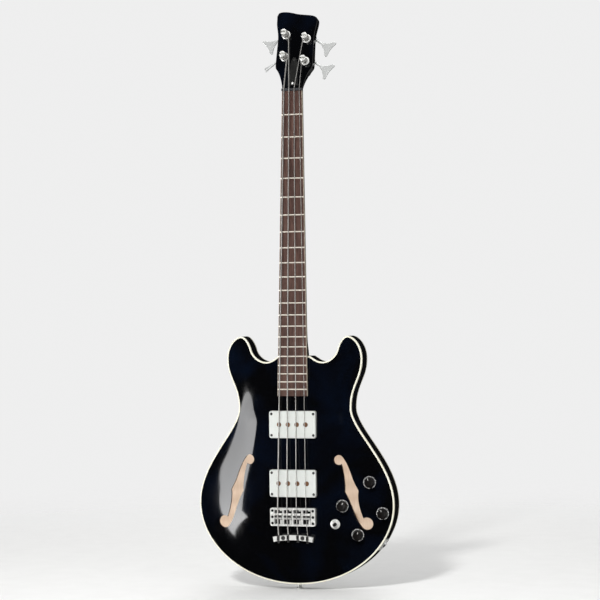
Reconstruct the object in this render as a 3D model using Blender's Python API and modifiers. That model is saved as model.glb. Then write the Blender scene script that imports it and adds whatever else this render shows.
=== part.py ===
"""Electric bass guitar: arched body with two f-holes, set neck, four worm tuners, two pickups.

Metres, +Z up. The instrument stands upright on the head of its end strap button, whose flat face is
the origin. +X is the treble side and -Y is the front. Every part is modelled in a frame of its own, in
which x points to the treble side, y up the instrument and z out of its front.
"""

import math

import bmesh
import bpy
import numpy as np
from mathutils import Matrix, Vector

NAME = "electric_bass_guitar"

# Clearances: between pieces that touch, between coil of string and post, round parts in cut-outs
GAP = 0.0003
ROUT_CLEARANCE = 0.0005
WRAP_GAP = 0.0006

# Strings, bass to treble
SCALE_LENGTH = 0.8636
STRING_RADII = (0.0013, 0.0011, 0.00085, 0.0006)
NUT_SPACING = 0.011
BRIDGE_SPACING = 0.020
NUT_LIFT = 0.0027
SADDLE_LIFT = 0.0049
BALL_RADIUS = 0.0029
BALL_LENGTH = 0.0045
LOOP_POINTS = 24
WRAPS = (2.0, 2.0, 2.0, 2.0)

# Body outline: half widths, and heights above the lower edge of the body
LOWER_BOUT = 0.2065
LOWER_BOUT_UP = 0.164
WAIST = 0.1193
WAIST_UP = 0.3575
UPPER_BOUT = 0.1433
UPPER_BOUT_UP = 0.4575
HORN_TIP = 0.113
HORN_TIP_UP = 0.5037
HORN_INNER = 0.0915
HORN_INNER_UP = 0.4765
CUTAWAY = 0.060
CUTAWAY_UP = 0.4517
NECK_JOINT = 0.033
NECK_JOINT_UP = 0.4635

# Body section
RIM_DEPTH = 0.042
RIM_WALL = 0.008
PLATE = 0.005
TOP_ARCH = 0.014
BACK_ARCH = 0.010
ARCH_REACH = 0.115
BINDING_WIDTH = 0.003
BLOCK_WIDTH = 0.090
PLATE_CELLS = (15, 18)

# Neck, fingerboard and nut
NECK_ANGLE = math.radians(2.264)
FRETS = 21
BOARD_PAST_FRETS = 0.01365
BOARD_LENGTH = SCALE_LENGTH * (1.0 - 2.0 ** (-FRETS / 12)) + BOARD_PAST_FRETS
BOARD_THICKNESS = 0.006
BOARD_NUT_WIDTH = 0.043
BOARD_END_WIDTH = 0.0635
CAMBER_RADIUS = 0.305
FRET_RADIUS = 0.0013
FRET_HEIGHT = 0.0009
FRET_INSET = 0.0004
NUT_THICKNESS = 0.005
NUT_RISE = 0.0006
TENON_WIDTH = 0.046
TENON_DEPTH = 0.036
TENON_INSET = 0.002
TENON_END = BOARD_LENGTH - TENON_INSET
# Neck sections: distance down from the nut, depth of wood under the board, squareness of the back
NECK_SECTIONS = (
    (-NUT_THICKNESS, 0.0145, 2.0),
    (0.060, 0.0145, 2.0),
    (0.300, 0.0170, 2.1),
)
# Heel sections: distance above the body's edge, depth, squareness. The last one is moved up to the edge.
HEEL_SECTIONS = (
    (0.0693, 0.0190, 2.1),
    (0.0413, 0.0215, 2.2),
    (0.0263, 0.0265, 2.3),
    (0.0133, 0.0345, 2.5),
    (-0.0057, 0.0415, 2.7),
)

# Truss rod and its cover
ROD_RADIUS = 0.0025
ROD_NUT_RADIUS = 0.004
ROD_DEPTH = 0.0055
ROD_CHANNEL = 0.0062
ROD_SHORT = 0.0655
ROD_END = BOARD_LENGTH - ROD_SHORT
ROD_HEAD = 0.020
ROD_NUT_LENGTH = 0.008
CAVITY_WIDTH = 0.011
CAVITY_LENGTH = 0.036
CAVITY_DEPTH = 0.009
COVER_WIDTH = 0.023
COVER_TOP_WIDTH = 0.015
COVER_LENGTH = 0.061
COVER_START = 0.0055
COVER_THICKNESS = 0.0018

# Headstock: its outline is worked out in headstock_outline from these
HEAD_ANGLE = math.radians(13)
HEAD_THICKNESS = 0.014
FACEPLATE = 0.002
HEAD_NECK = 0.0218
HEAD_EAR = 0.0397
HEAD_EAR_UP = 0.051
HEAD_WAIST = 0.0385
HEAD_WAIST_UP = 0.108
HEAD_TOP = 0.0435
HEAD_CORNER_UP = 0.1445
HEAD_HIGH_UP = 0.168
HEAD_LOW_UP = 0.1555
# Root sections: share of the root's length, squareness of the back
HEAD_ROOT = 0.032
ROOT_STEP = 0.0001
ROOT_SECTIONS = ((0.0, 2.0), (0.25, 2.4), (0.5, 3.2), (0.75, 5.0), (1.0, 9.0))

# Tuners, in order of the strings that they wind: place of the post, and side of the headstock
POSTS = ((-0.0213, 0.0685), (-0.0213, 0.1170), (0.0230, 0.1070), (0.0230, 0.0580))
POST_RADIUS = 0.005
POST_CAP_RADIUS = 0.0062
POST_HEIGHT = 0.0225
POST_SLOT = 0.0032
POST_SLOT_DEPTH = 0.0058
BUSHING_RADIUS = 0.0092
BUSHING_THICKNESS = 0.002
SLEEVE_RADIUS = 0.0068
SLEEVE_LENGTH = 0.009
TUNER_SLANT = math.radians(35)
TUNER_PLATE = 0.0015
WORM_CENTRES = 0.012
GEAR_TEETH = 20
GEAR_TIP = 0.00975
GEAR_ROOT = 0.0079
GEAR_WIDTH = 0.004
TOOTH_FOOT = 0.00145
TOOTH_TIP = 0.00075
WORM_PITCH_RADIUS = 0.0031
WORM_TIP = 0.0038
WORM_CORE = 0.00195
WORM_TURNS = 2.25
WORM_PHASES = 8
SHAFT_RADIUS = 0.0022
STUB_RADIUS = 0.00165
EAR = 0.0016
EAR_AT = 0.0057
EAR_MARGIN = 0.0015
KEY_STEM = 0.0262
KEY_LENGTH = 0.0205
KEY_SPREAD = 0.0152
KEY_LOBE = 0.0032
KEY_DISH = 0.0052
KEY_THICKNESS = 0.0036
KEY_TURNS = (math.radians(55), 0.0, 0.0, 0.0)

# Bridge and saddles
SADDLE_UP = 0.1402
STRING_OUT = 0.051
BRIDGE_WIDTH = 0.095
BRIDGE_LENGTH = 0.0366
BRIDGE_HEIGHT = 0.0089
BRIDGE_CORNER = 0.004
BRIDGE_SHIFT = -0.0015
BRIDGE_FLOOR = 0.0015
BAY_WIDTH = 0.0168
BAY_LENGTH = 0.0290
BRIDGE_HOLE = 0.0024
BRIDGE_HOLE_X = 0.0428
BRIDGE_HOLE_SPACING = 0.0127
SADDLE_WIDTH = 0.0152
SADDLE_LENGTH = 0.012
SADDLE_SHOULDER = 0.0035
SADDLE_SCREW = 0.0014
SADDLE_SCREW_OUT = 0.0400

# Tailpiece and its posts
TAIL_UP = 0.0972
TAIL_LENGTH = 0.084
TAIL_WIDTH = 0.0100
TAIL_BOW = 0.0040
TAIL_SPACING = 0.0204
TAIL_OUT = 0.0360
TAIL_FLOOR = 0.0022
TAIL_BLOCK = 0.0065
TAIL_SLOT = 0.0036
TAIL_STRING_OUT = 0.0415
TAIL_POST_X = 0.0204
TAIL_POST_RADIUS = 0.0030
TAIL_POST_HEAD = 0.0042
TAIL_POST_HEAD_DEPTH = 0.0022
TAIL_POST_COLLAR = 0.0065
TAIL_POST_LENGTH = 0.024

# Pickups, neck side first: it keeps its distance from the board, and the other from the saddles
PICKUP_TO_BOARD = 0.0581
PICKUP_TO_SADDLES = 0.0660
PICKUP_UP = (SADDLE_UP + SCALE_LENGTH - BOARD_LENGTH - PICKUP_TO_BOARD, SADDLE_UP + PICKUP_TO_SADDLES)
PICKUP_OUT = (0.0385, 0.0410)
PICKUP_WIDTH = 0.098
PICKUP_LENGTH = 0.055
PICKUP_CORNER = 0.0045
PICKUP_WALL = 0.0011
ROUT_FLOOR = 0.0235
POLE_RADIUS = 0.0047
POLE_SPACING = (0.0187, 0.0198)
COIL_WIDTH = 0.078
COIL_LENGTH = 0.030

# Controls: places on the top, in from the widest part of the body and up from its lower edge
KNOBS_IN = ((0.0495, 0.2092), (0.1035, 0.1622), (0.0235, 0.1472), (0.0745, 0.1042))
KNOBS = tuple((LOWER_BOUT - inward, up) for inward, up in KNOBS_IN)
KNOB_RADIUS = 0.0132
KNOB_HEIGHT = 0.0165
KNOB_LIFT = 0.0018
POT_RADIUS = 0.012
POT_DEPTH = 0.009
POT_BUSHING = 0.0047
POT_SHAFT = 0.003
POT_SHAFT_TOP = 0.012
CASE_GAP = 0.0009
SWITCH_IN = 0.1195
SWITCH_UP = 0.1252
SWITCH = (LOWER_BOUT - SWITCH_IN, SWITCH_UP)
SWITCH_BUSHING = 0.0058
SWITCH_RING = 0.0100
SWITCH_BORE = 0.0037
SWITCH_BODY = 0.0085
SWITCH_DEPTH = 0.018
SWITCH_PIVOT = -0.002
LEVER_BALL = 0.0033
LEVER_TOP = 0.017

# F-hole, in from the widest part: its round ends, the bends of its two sides, the points of its notches
F_UPPER = (LOWER_BOUT - 0.1123, 0.2540)
F_LOWER = (LOWER_BOUT - 0.0558, 0.1262)
F_UPPER_RADIUS = 0.0098
F_LOWER_RADIUS = 0.0124
F_OUTER_BEND = (LOWER_BOUT - 0.0847, 0.2193)
F_OUTER_TIP = (LOWER_BOUT - 0.0715, 0.1923)
F_INNER_BEND = (LOWER_BOUT - 0.0822, 0.1520)
F_INNER_TIP = (LOWER_BOUT - 0.0993, 0.1900)

# Jack and strap buttons
JACK_UP = 0.0828
JACK_PLATE = 0.028
JACK_PLATE_THICKNESS = 0.0016
JACK_BARREL = 0.0046
JACK_BORE = 0.00325
JACK_NUT = 0.0064
JACK_NUT_HEIGHT = 0.0024
JACK_LENGTH = 0.020
BUTTON_LENGTH = 0.0108
BUTTON_FLANGE = 0.00675
BUTTON_FOOT = 0.0055
BUTTON_NECK = 0.0036
BUTTON_SCREW = 0.002
END_SCREW_LENGTH = 0.018
UPPER_SCREW_LENGTH = 0.012
UPPER_BUTTON_BELOW = 0.023
UPPER_BUTTON_UP = NECK_JOINT_UP - UPPER_BUTTON_BELOW

# Colour, roughness and metallic value of each material
MATERIALS = {
    "black_gloss": ((0.006, 0.007, 0.010), 0.08, 0.0),
    "binding_cream": ((0.80, 0.78, 0.66), 0.30, 0.0),
    "maple": ((0.66, 0.44, 0.24), 0.60, 0.0),
    "rosewood": ((0.080, 0.042, 0.030), 0.55, 0.0),
    "chrome": ((0.75, 0.76, 0.78), 0.12, 1.0),
    "steel": ((0.55, 0.54, 0.52), 0.35, 1.0),
    "black_plastic": ((0.012, 0.012, 0.013), 0.35, 0.0),
    "copper": ((0.45, 0.30, 0.20), 0.40, 1.0),
    "zinc": ((0.50, 0.50, 0.48), 0.50, 1.0),
}

PARTS = None
CUTTERS = None


def start_scene():
    """Empties the scene and makes one collection for the parts and one for the cutters."""
    global PARTS, CUTTERS
    for obj in list(bpy.data.objects):
        bpy.data.objects.remove(obj)
    PARTS = bpy.data.collections.new(NAME)
    CUTTERS = bpy.data.collections.new(NAME + "_cutters")
    for collection in (PARTS, CUTTERS):
        bpy.context.scene.collection.children.link(collection)


def material(name):
    """The named material, made on its first use."""
    if name in bpy.data.materials:
        return bpy.data.materials[name]
    colour, roughness, metallic = MATERIALS[name]
    made = bpy.data.materials.new(name)
    made.use_nodes = True
    shader = made.node_tree.nodes["Principled BSDF"]
    shader.inputs["Base Color"].default_value = (*colour, 1.0)
    shader.inputs["Roughness"].default_value = roughness
    shader.inputs["Metallic"].default_value = metallic
    return made


# Frames: an empty carries each group, and its world matrix is kept for working out places

FRAMES = {}


def frame(name, matrix, parent=None):
    """An empty named for its group, placed by matrix in its parent's frame."""
    empty = bpy.data.objects.new(name, None)
    empty.empty_display_size = 0.02
    PARTS.objects.link(empty)
    empty.parent = parent
    empty.matrix_basis = matrix
    FRAMES[name] = (FRAMES[parent.name] if parent else Matrix()) @ matrix
    return empty


def shift(x=0.0, y=0.0, z=0.0):
    return Matrix.Translation((x, y, z))


def turn(angle, axis):
    return Matrix.Rotation(angle, 4, axis)


# Objects

def add(name, mesh, material_name, carrier, matrix=None):
    """A part with its material, placed in its carrier's frame."""
    if not mesh.materials:
        mesh.materials.append(material(material_name))
    obj = bpy.data.objects.new(name, mesh)
    PARTS.objects.link(obj)
    obj.parent = carrier
    obj.matrix_basis = matrix or Matrix()
    return obj


def guide(name, mesh, carrier, matrix=None):
    """A cutter or a piece to be joined: shown as wire and left out of renders."""
    obj = bpy.data.objects.new(name, mesh)
    CUTTERS.objects.link(obj)
    obj.parent = carrier
    obj.matrix_basis = matrix or Matrix()
    obj.hide_render = True
    obj.display_type = "WIRE"
    return obj


def combine(obj, other, operation):
    modifier = obj.modifiers.new(f"{operation.lower()}_{other.name}", "BOOLEAN")
    modifier.operation = operation
    modifier.object = other


def cut(obj, *others):
    for other in others:
        combine(obj, other, "DIFFERENCE")


def join(obj, *others):
    for other in others:
        combine(obj, other, "UNION")


def keep_inside(obj, other):
    combine(obj, other, "INTERSECT")


# Meshes

def smooth(mesh, sharp=35):
    """Shades a round mesh smooth, with edges over the sharp angle left crisp."""
    mesh.shade_smooth()
    mesh.set_sharp_from_angle(angle=math.radians(sharp))
    return mesh


def mesh_from(bm, name="mesh"):
    bmesh.ops.recalc_face_normals(bm, faces=bm.faces)
    mesh = bpy.data.meshes.new(name)
    bm.to_mesh(mesh)
    bm.free()
    return mesh


def evaluated(obj, weld=0.000001):
    """The mesh of a scratch object with its modifiers, which is then removed."""
    bpy.context.scene.collection.objects.link(obj)
    bpy.context.view_layer.update()
    depsgraph = bpy.context.evaluated_depsgraph_get()
    mesh = bpy.data.meshes.new_from_object(obj.evaluated_get(depsgraph))
    bpy.data.objects.remove(obj)
    bm = bmesh.new()
    bm.from_mesh(mesh)
    bmesh.ops.remove_doubles(bm, verts=bm.verts, dist=weld)
    bm.to_mesh(mesh)
    bm.free()
    return mesh


def box(x, y, z, centre=(0.0, 0.0, 0.0)):
    bm = bmesh.new()
    bmesh.ops.create_cube(bm, size=1.0, matrix=Matrix.Translation(centre) @ Matrix.Diagonal((x, y, z, 1.0)))
    return mesh_from(bm)


def rod(radius, low, high, sides=12):
    """A cylinder along z from low to high."""
    bm = bmesh.new()
    bmesh.ops.create_cone(bm, cap_ends=True, segments=sides, radius1=radius, radius2=radius,
                          depth=high - low, matrix=shift(z=(low + high) / 2))
    return smooth(mesh_from(bm))


def turned(profile, steps=20):
    """A profile of (radius, height), run down its outer side, turned about z; closed if it is a ring."""
    bm = bmesh.new()
    verts = [bm.verts.new((radius, 0.0, height)) for radius, height in profile]
    for first, second in zip(verts, verts[1:]):
        bm.edges.new((first, second))
    if profile[0][0] > 0.0:
        bm.edges.new((verts[-1], verts[0]))
    mesh = bpy.data.meshes.new("profile")
    bm.to_mesh(mesh)
    bm.free()
    obj = bpy.data.objects.new("turned", mesh)
    screw = obj.modifiers.new("turn", "SCREW")
    screw.axis = "Z"
    screw.steps = steps
    screw.render_steps = steps
    screw.use_merge_vertices = True
    screw.merge_threshold = 0.00001
    return smooth(evaluated(obj))


def flat(outlines, low, high):
    """A closed outline of (x, y), with any further outlines as holes, filled from z low to z high."""
    curve = bpy.data.curves.new("outline", "CURVE")
    curve.dimensions = "2D"
    curve.fill_mode = "BOTH"
    curve.extrude = (high - low) / 2
    for outline in outlines:
        spline = curve.splines.new("POLY")
        spline.points.add(len(outline) - 1)
        spline.use_cyclic_u = True
        for point, (x, y) in zip(spline.points, outline):
            point.co = (x, y, 0.0, 1.0)
    mesh = evaluated(bpy.data.objects.new("outline", curve))
    bpy.data.curves.remove(curve)
    mesh.transform(shift(z=(low + high) / 2))
    bm = bmesh.new()
    bm.from_mesh(mesh)
    return mesh_from(bm)


def wire(points, radius, resolution=1, radii=None):
    """A tube along a list of points, with its ends capped and welded."""
    curve = bpy.data.curves.new("wire", "CURVE")
    curve.dimensions = "3D"
    curve.bevel_depth = radius
    curve.bevel_resolution = resolution
    curve.use_fill_caps = True
    spline = curve.splines.new("POLY")
    spline.points.add(len(points) - 1)
    for index, (point, place) in enumerate(zip(spline.points, points)):
        point.co = (*place, 1.0)
        point.radius = radii[index] if radii else 1.0
    mesh = evaluated(bpy.data.objects.new("wire", curve))
    bpy.data.curves.remove(curve)
    return smooth(mesh, 50)


def sheet(columns, rows, front, back):
    """A closed sheet between two surfaces, each a function of u and v from 0 to 1."""
    bm = bmesh.new()
    for surface in (front, back):
        grid = bmesh.ops.create_grid(bm, x_segments=columns, y_segments=rows, size=1.0)
        for vert in grid["verts"]:
            vert.co = surface((vert.co.x + 1.0) / 2, (vert.co.y + 1.0) / 2)
    rim = [edge for edge in bm.edges if edge.is_boundary]
    bmesh.ops.bridge_loops(bm, edges=rim)
    bmesh.ops.triangulate(bm, faces=bm.faces)
    return mesh_from(bm)


def loft(rings):
    """A solid skin through rings of equal count, with both ends filled."""
    bm = bmesh.new()
    loops = [[bm.verts.new(point) for point in ring] for ring in rings]
    count = len(rings[0])
    for lower, upper in zip(loops, loops[1:]):
        for index in range(count):
            after = (index + 1) % count
            bm.faces.new((lower[index], lower[after], upper[after], upper[index]))
    bm.faces.new(loops[0])
    bm.faces.new(loops[-1])
    bmesh.ops.triangulate(bm, faces=bm.faces)
    return mesh_from(bm)


def bezier(start, start_handle, end_handle, end, count):
    """Points of a cubic from start up to, and without, its end."""
    points = []
    for index in range(count):
        t = index / count
        s = 1.0 - t
        points.append(tuple(
            s ** 3 * a + 3 * s * s * t * b + 3 * s * t * t * c + t ** 3 * d
            for a, b, c, d in zip(start, start_handle, end_handle, end)
        ))
    return points


def smooth_outline(knots):
    """Points through knots of (x, y, direction, handle before, handle after, points to the next)."""
    points = []
    for (x, y, way, _, after, count), (x2, y2, way2, before, _, _) in zip(knots, knots[1:]):
        leave = (x + after * math.cos(way), y + after * math.sin(way))
        arrive = (x2 - before * math.cos(way2), y2 - before * math.sin(way2))
        points += bezier((x, y), leave, arrive, (x2, y2), count)
    points.append(knots[-1][:2])
    return points


def circle(radius, sides=12):
    angles = [2 * math.pi * side / sides for side in range(sides)]
    return [(radius * math.cos(angle), radius * math.sin(angle)) for angle in angles]


def rounded_rectangle(width, length, corner, steps=2):
    points = []
    for quarter in range(4):
        sign_x = (1, -1, -1, 1)[quarter]
        sign_y = (1, 1, -1, -1)[quarter]
        for step in range(steps + 1):
            angle = math.pi / 2 * (quarter + step / steps)
            points.append((sign_x * (width / 2 - corner) + corner * math.cos(angle),
                           sign_y * (length / 2 - corner) + corner * math.sin(angle)))
    return points


# Body outline and arching

def half_outline():
    """The treble half of the body's edge, from the middle of its lower edge up to the neck joint."""
    east, north, west = 0.0, math.pi / 2, math.pi
    return smooth_outline((
        (0.0, 0.0, east, 0.0, 0.118, 7),
        (LOWER_BOUT, LOWER_BOUT_UP, north, 0.085, 0.083, 7),
        (WAIST, WAIST_UP, north, 0.044, 0.046, 5),
        (UPPER_BOUT, UPPER_BOUT_UP, north, 0.040, 0.028, 4),
        (HORN_TIP, HORN_TIP_UP, west, 0.013, 0.009, 3),
        (HORN_INNER, HORN_INNER_UP, math.radians(255), 0.014, 0.013, 3),
        (CUTAWAY, CUTAWAY_UP, west, 0.015, 0.012, 4),
        (NECK_JOINT, NECK_JOINT_UP, math.radians(150), 0.010, 0.0, 1),
    ))


def body_outline(inset=0.0):
    """The closed edge of the body, anticlockwise seen from the front, moved in by inset."""
    half = half_outline()
    other = [(-x, y) for x, y in reversed(half[1:])]
    points = np.array(half + [(0.0, NECK_JOINT_UP)] + other)
    before = points - np.roll(points, 1, axis=0)
    after = np.roll(points, -1, axis=0) - points
    before /= np.linalg.norm(before, axis=1)[:, None]
    after /= np.linalg.norm(after, axis=1)[:, None]
    inward = np.stack([-(before + after)[:, 1], (before + after)[:, 0]], axis=1)
    inward /= np.linalg.norm(inward, axis=1)[:, None]
    mitre = (inward * np.stack([-after[:, 1], after[:, 0]], axis=1)).sum(axis=1)
    return points + inward * (inset / mitre)[:, None]


EDGE = body_outline()


def edge_distance(x, y):
    """How far a place lies inside the body's edge, and 0 outside it."""
    place = np.array((x, y))
    start, end = EDGE, np.roll(EDGE, -1, axis=0)
    along = end - start
    share = np.clip(((place - start) * along).sum(axis=1) / (along ** 2).sum(axis=1), 0.0, 1.0)
    nearest = np.linalg.norm(start + along * share[:, None] - place, axis=1).min()
    crosses = (start[:, 1] > y) != (end[:, 1] > y)
    level = np.where(crosses, along[:, 1], 1.0)
    meets = start[:, 0] + (y - start[:, 1]) / level * along[:, 0]
    inside = np.count_nonzero(crosses & (meets > x)) % 2
    return float(nearest) if inside else 0.0


def swell(x, y):
    """The share of the full arch at a place: 0 at the edge, 1 past the arch's reach."""
    share = min(edge_distance(x, y) / ARCH_REACH, 1.0)
    return (1.0 - math.cos(math.pi * share)) / 2


def top_out(x, y):
    return RIM_DEPTH / 2 + TOP_ARCH * swell(x, y)


def back_out(x, y):
    return -RIM_DEPTH / 2 - BACK_ARCH * swell(x, y)


def on_surface(x, y, surface):
    """A matrix at a place on the top or back, with z square to it and out of the body."""
    step = 0.004
    slope_x = (surface(x + step, y) - surface(x - step, y)) / (2 * step)
    slope_y = (surface(x, y + step) - surface(x, y - step)) / (2 * step)
    normal = Vector((-slope_x, -slope_y, 1.0))
    if surface is back_out:
        normal.negate()
    tilt = Vector((0.0, 0.0, 1.0)).rotation_difference(normal).to_matrix().to_4x4()
    return Matrix.Translation((x, y, surface(x, y))) @ tilt


def between(low, high, share):
    return low + (high - low) * share


def camber(x):
    return x * x / (2 * CAMBER_RADIUS)


# Body

def plate_place(column, row):
    """A crossing of the grid on which both plates are arched; three of its cells span the centre block."""
    cell = BLOCK_WIDTH / 3
    return cell * (column - PLATE_CELLS[0] / 2), cell * (row - 0.5)


def plate(name, surface, side, carrier):
    """The top (side 1) or back (side -1): an arched sheet cut to the edge inside the binding."""

    def face(depth):
        def place(u, v):
            x, y = plate_place(u * PLATE_CELLS[0], v * PLATE_CELLS[1])
            return (x, y, surface(x, y) - side * depth)
        return place

    mesh = sheet(*PLATE_CELLS, face(0.0), face(PLATE))
    obj = add(name, smooth(mesh, 60), "black_gloss", carrier)
    reach = RIM_DEPTH
    edge = flat([body_outline(BINDING_WIDTH + GAP)], -reach, reach)
    keep_inside(obj, guide(name + "_edge", edge, carrier))
    return obj


def binding(name, side, carrier):
    """A cream strip round the edge of the top or back, open where the neck goes in."""
    inner = RIM_DEPTH / 2 - PLATE
    low, high = sorted((side * inner, side * RIM_DEPTH / 2))
    mesh = flat([body_outline(), body_outline(BINDING_WIDTH)], low, high)
    return add(name, smooth(mesh), "binding_cream", carrier)


def rim(name, side, carrier):
    """One bent side with its lining, from the end button to the neck."""
    count = len(EDGE) // 2 + 1
    high = RIM_DEPTH / 2 - PLATE - GAP
    outer = body_outline()[:count]
    inner = body_outline(RIM_WALL)[:count]
    loop = [tuple(point) for point in outer] + [tuple(point) for point in inner[::-1]]
    loop[0] = (GAP / 2, loop[0][1])
    loop[-1] = (GAP / 2, loop[-1][1])
    loop[count - 1] = (GAP / 2, loop[count - 1][1])
    loop[count] = (GAP / 2, loop[count][1])
    if side < 0:
        loop = [(-x, y) for x, y in reversed(loop)]
    return add(name, smooth(flat([loop], -high, high)), "black_gloss", carrier)


def centre_block(carrier):
    """The solid block under the bridge and pickups, shaped to the inside of both plates."""
    left = PLATE_CELLS[0] / 2 - 1.5

    def face(surface, side):
        def place(u, v):
            x, y = plate_place(left + 3 * u, v * PLATE_CELLS[1])
            return (x, y, surface(x, y) - side * (PLATE + GAP))
        return place

    mesh = sheet(3, PLATE_CELLS[1], face(top_out, 1), face(back_out, -1))
    obj = add("centre_block", mesh, "maple", carrier)
    edge = flat([body_outline(RIM_WALL + GAP)], -RIM_DEPTH, RIM_DEPTH)
    keep_inside(obj, guide("block_edge", edge, carrier))
    return obj


def arc(centre, radius, start, end, count):
    """Points on a circle from one angle in degrees up to, and without, another."""
    angles = [math.radians(between(start, end, step / count)) for step in range(count)]
    return [(centre[0] + radius * math.cos(angle), centre[1] + radius * math.sin(angle)) for angle in angles]


def f_outline():
    """The treble f-hole: two round ends and, between them, an S-shaped stem with a notch each side."""
    upper = arc(F_UPPER, F_UPPER_RADIUS, -55, -320, 9)
    lower = arc(F_LOWER, F_LOWER_RADIUS, 121, -140, 9)
    leave = arc(F_UPPER, F_UPPER_RADIUS, -320, 0, 1)[0]
    rejoin = arc(F_LOWER, F_LOWER_RADIUS, -140, 0, 1)[0]
    down = math.radians(-72)
    outer = smooth_outline((
        (*leave, math.radians(-50), 0.0, 0.014, 3),
        (*F_OUTER_BEND, down, 0.012, 0.010, 2),
        (*F_OUTER_TIP, math.radians(-62), 0.007, 0.0, 1),
    ))
    outer += smooth_outline((
        (*F_OUTER_TIP, math.radians(-104), 0.0, 0.012, 4),
        (*lower[0], math.radians(-66), 0.020, 0.0, 1),
    ))[1:-1]
    inner = smooth_outline((
        (*rejoin, math.radians(130), 0.0, 0.010, 3),
        (*F_INNER_BEND, math.radians(109), 0.014, 0.013, 2),
        (*F_INNER_TIP, math.radians(123), 0.009, 0.0, 1),
    ))
    inner += smooth_outline((
        (*F_INNER_TIP, math.radians(82), 0.0, 0.013, 4),
        (*upper[0], math.radians(108), 0.015, 0.0, 1),
    ))[1:-1]
    return upper + outer + lower + inner


def f_hole(side, carrier):
    """A cutter for one f-hole: side 1 on the treble side, -1 on the bass side."""
    outline = [(side * x, y) for x, y in f_outline()]
    mesh = flat([outline], RIM_DEPTH / 2 - 2 * PLATE, RIM_DEPTH)
    return guide(f"f_hole_{side}", mesh, carrier)


# Neck

def board_half_width(down):
    """Half the width of the fingerboard at a distance down from the nut."""
    return between(BOARD_NUT_WIDTH, BOARD_END_WIDTH, down / BOARD_LENGTH) / 2


def heel_down(z):
    """How far down from the nut the body's edge lies, at a height z from the board's surface."""
    above_saddle = NECK_JOINT_UP + GAP - SADDLE_UP
    return SCALE_LENGTH - (above_saddle - (z - SADDLE_LIFT) * math.sin(NECK_ANGLE)) / math.cos(NECK_ANGLE)


def round_back(half, depth, square, count=10):
    """A section with a flat front and a round back, as (x, z); squareness 2 is an ellipse."""
    points = []
    for index in range(count + 1):
        angle = math.pi * index / count
        x = math.copysign(abs(math.cos(angle)) ** (2 / square), math.cos(angle))
        points.append((half * x, -depth * math.sin(angle) ** (2 / square)))
    return points


def root_half_width(up):
    """Half the width of the headstock at a height under its ears."""
    side = [(y, x) for x, y in headstock_outline() if x > 0.0 and y < HEAD_EAR_UP]
    return float(np.interp(up, *zip(*side)))


def head_root():
    """The lower end of the headstock, where the round back of the neck turns flat."""
    rings = []
    for share, square in ROOT_SECTIONS:
        up = share * HEAD_ROOT
        section = round_back(root_half_width(up) - ROOT_STEP, HEAD_THICKNESS - 2 * ROOT_STEP, square)
        rings.append([(x, up, z - ROOT_STEP) for x, z in section])
    return loft(rings)


def neck(carrier, head):
    """Neck, heel, tenon and headstock in one piece of wood."""
    rings = []
    top = -BOARD_THICKNESS - GAP
    heel = heel_down(top)
    sections = list(NECK_SECTIONS)
    sections += [(heel - above, depth, square) for above, depth, square in HEEL_SECTIONS]
    for down, depth, square in sections:
        half = board_half_width(max(down, 0.0))
        ring = []
        for x, z in round_back(half, depth, square):
            ring.append((x, -min(down, heel_down(top + z)), top + z))
        rings.append(ring)
    obj = add("neck", smooth(loft(rings), 40), "black_gloss", carrier)
    tenon_from = heel_down(-BOARD_THICKNESS) - 0.008
    tenon_length = TENON_END - tenon_from
    tenon = box(TENON_WIDTH, tenon_length, TENON_DEPTH,
                (0.0, -tenon_from - tenon_length / 2, top - TENON_DEPTH / 2))
    join(obj, guide("tenon", tenon, carrier))
    low = HEAD_ROOT - 10 * ROOT_STEP
    half = root_half_width(low)
    upper = [point for point in headstock_outline() if point[1] > low]
    slab = flat([[(half, low)] + upper + [(-half, low)]], -HEAD_THICKNESS, 0.0)
    join(obj, guide("headstock_root", head_root(), head), guide("headstock", slab, head))
    channel_length = ROD_END + GAP + ROD_HEAD
    channel_depth = ROD_DEPTH + ROD_RADIUS + GAP
    channel = box(ROD_CHANNEL, channel_length, 2 * channel_depth,
                  (0.0, ROD_HEAD - channel_length / 2, top))
    cut(obj, guide("rod_channel", channel, carrier))
    return obj


def headstock_outline():
    """The headstock seen square to its face: flared ears, drawn-in sides and a slanted wavy top."""
    north = math.pi / 2
    side = smooth_outline((
        (HEAD_NECK, 0.0, math.radians(82), 0.0, 0.008, 3),
        (HEAD_EAR - 0.0035, HEAD_EAR_UP - 0.010, math.radians(52), 0.014, 0.004, 2),
        (HEAD_EAR, HEAD_EAR_UP, north, 0.005, 0.020, 3),
        (HEAD_WAIST, HEAD_WAIST_UP, north, 0.018, 0.014, 3),
        (HEAD_TOP, HEAD_CORNER_UP, math.radians(84), 0.014, 0.0, 1),
    ))
    top = smooth_outline((
        (HEAD_TOP - 0.0028, HEAD_LOW_UP - 0.002, math.radians(140), 0.0, 0.004, 2),
        (0.024, HEAD_LOW_UP + 0.0035, math.radians(172), 0.010, 0.010, 3),
        (-0.006, HEAD_HIGH_UP - 0.004, math.radians(163), 0.010, 0.007, 3),
        (-0.029, HEAD_HIGH_UP, math.pi, 0.008, 0.006, 2),
        (-HEAD_TOP + 0.0018, HEAD_HIGH_UP - 0.004, math.radians(235), 0.004, 0.004, 2),
    ))
    left = [(-x, y) for x, y in reversed(side)]
    return side + top[:-1] + [(-HEAD_TOP, HEAD_HIGH_UP - 0.009)] + left[1:]


def faceplate(head):
    """The thin dark veneer on the face of the headstock."""
    outline = [(x, max(y, 0.0015)) for x, y in headstock_outline()]
    mesh = flat([outline], GAP, GAP + FACEPLATE)
    return add("headstock_faceplate", mesh, "black_gloss", head)


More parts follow.
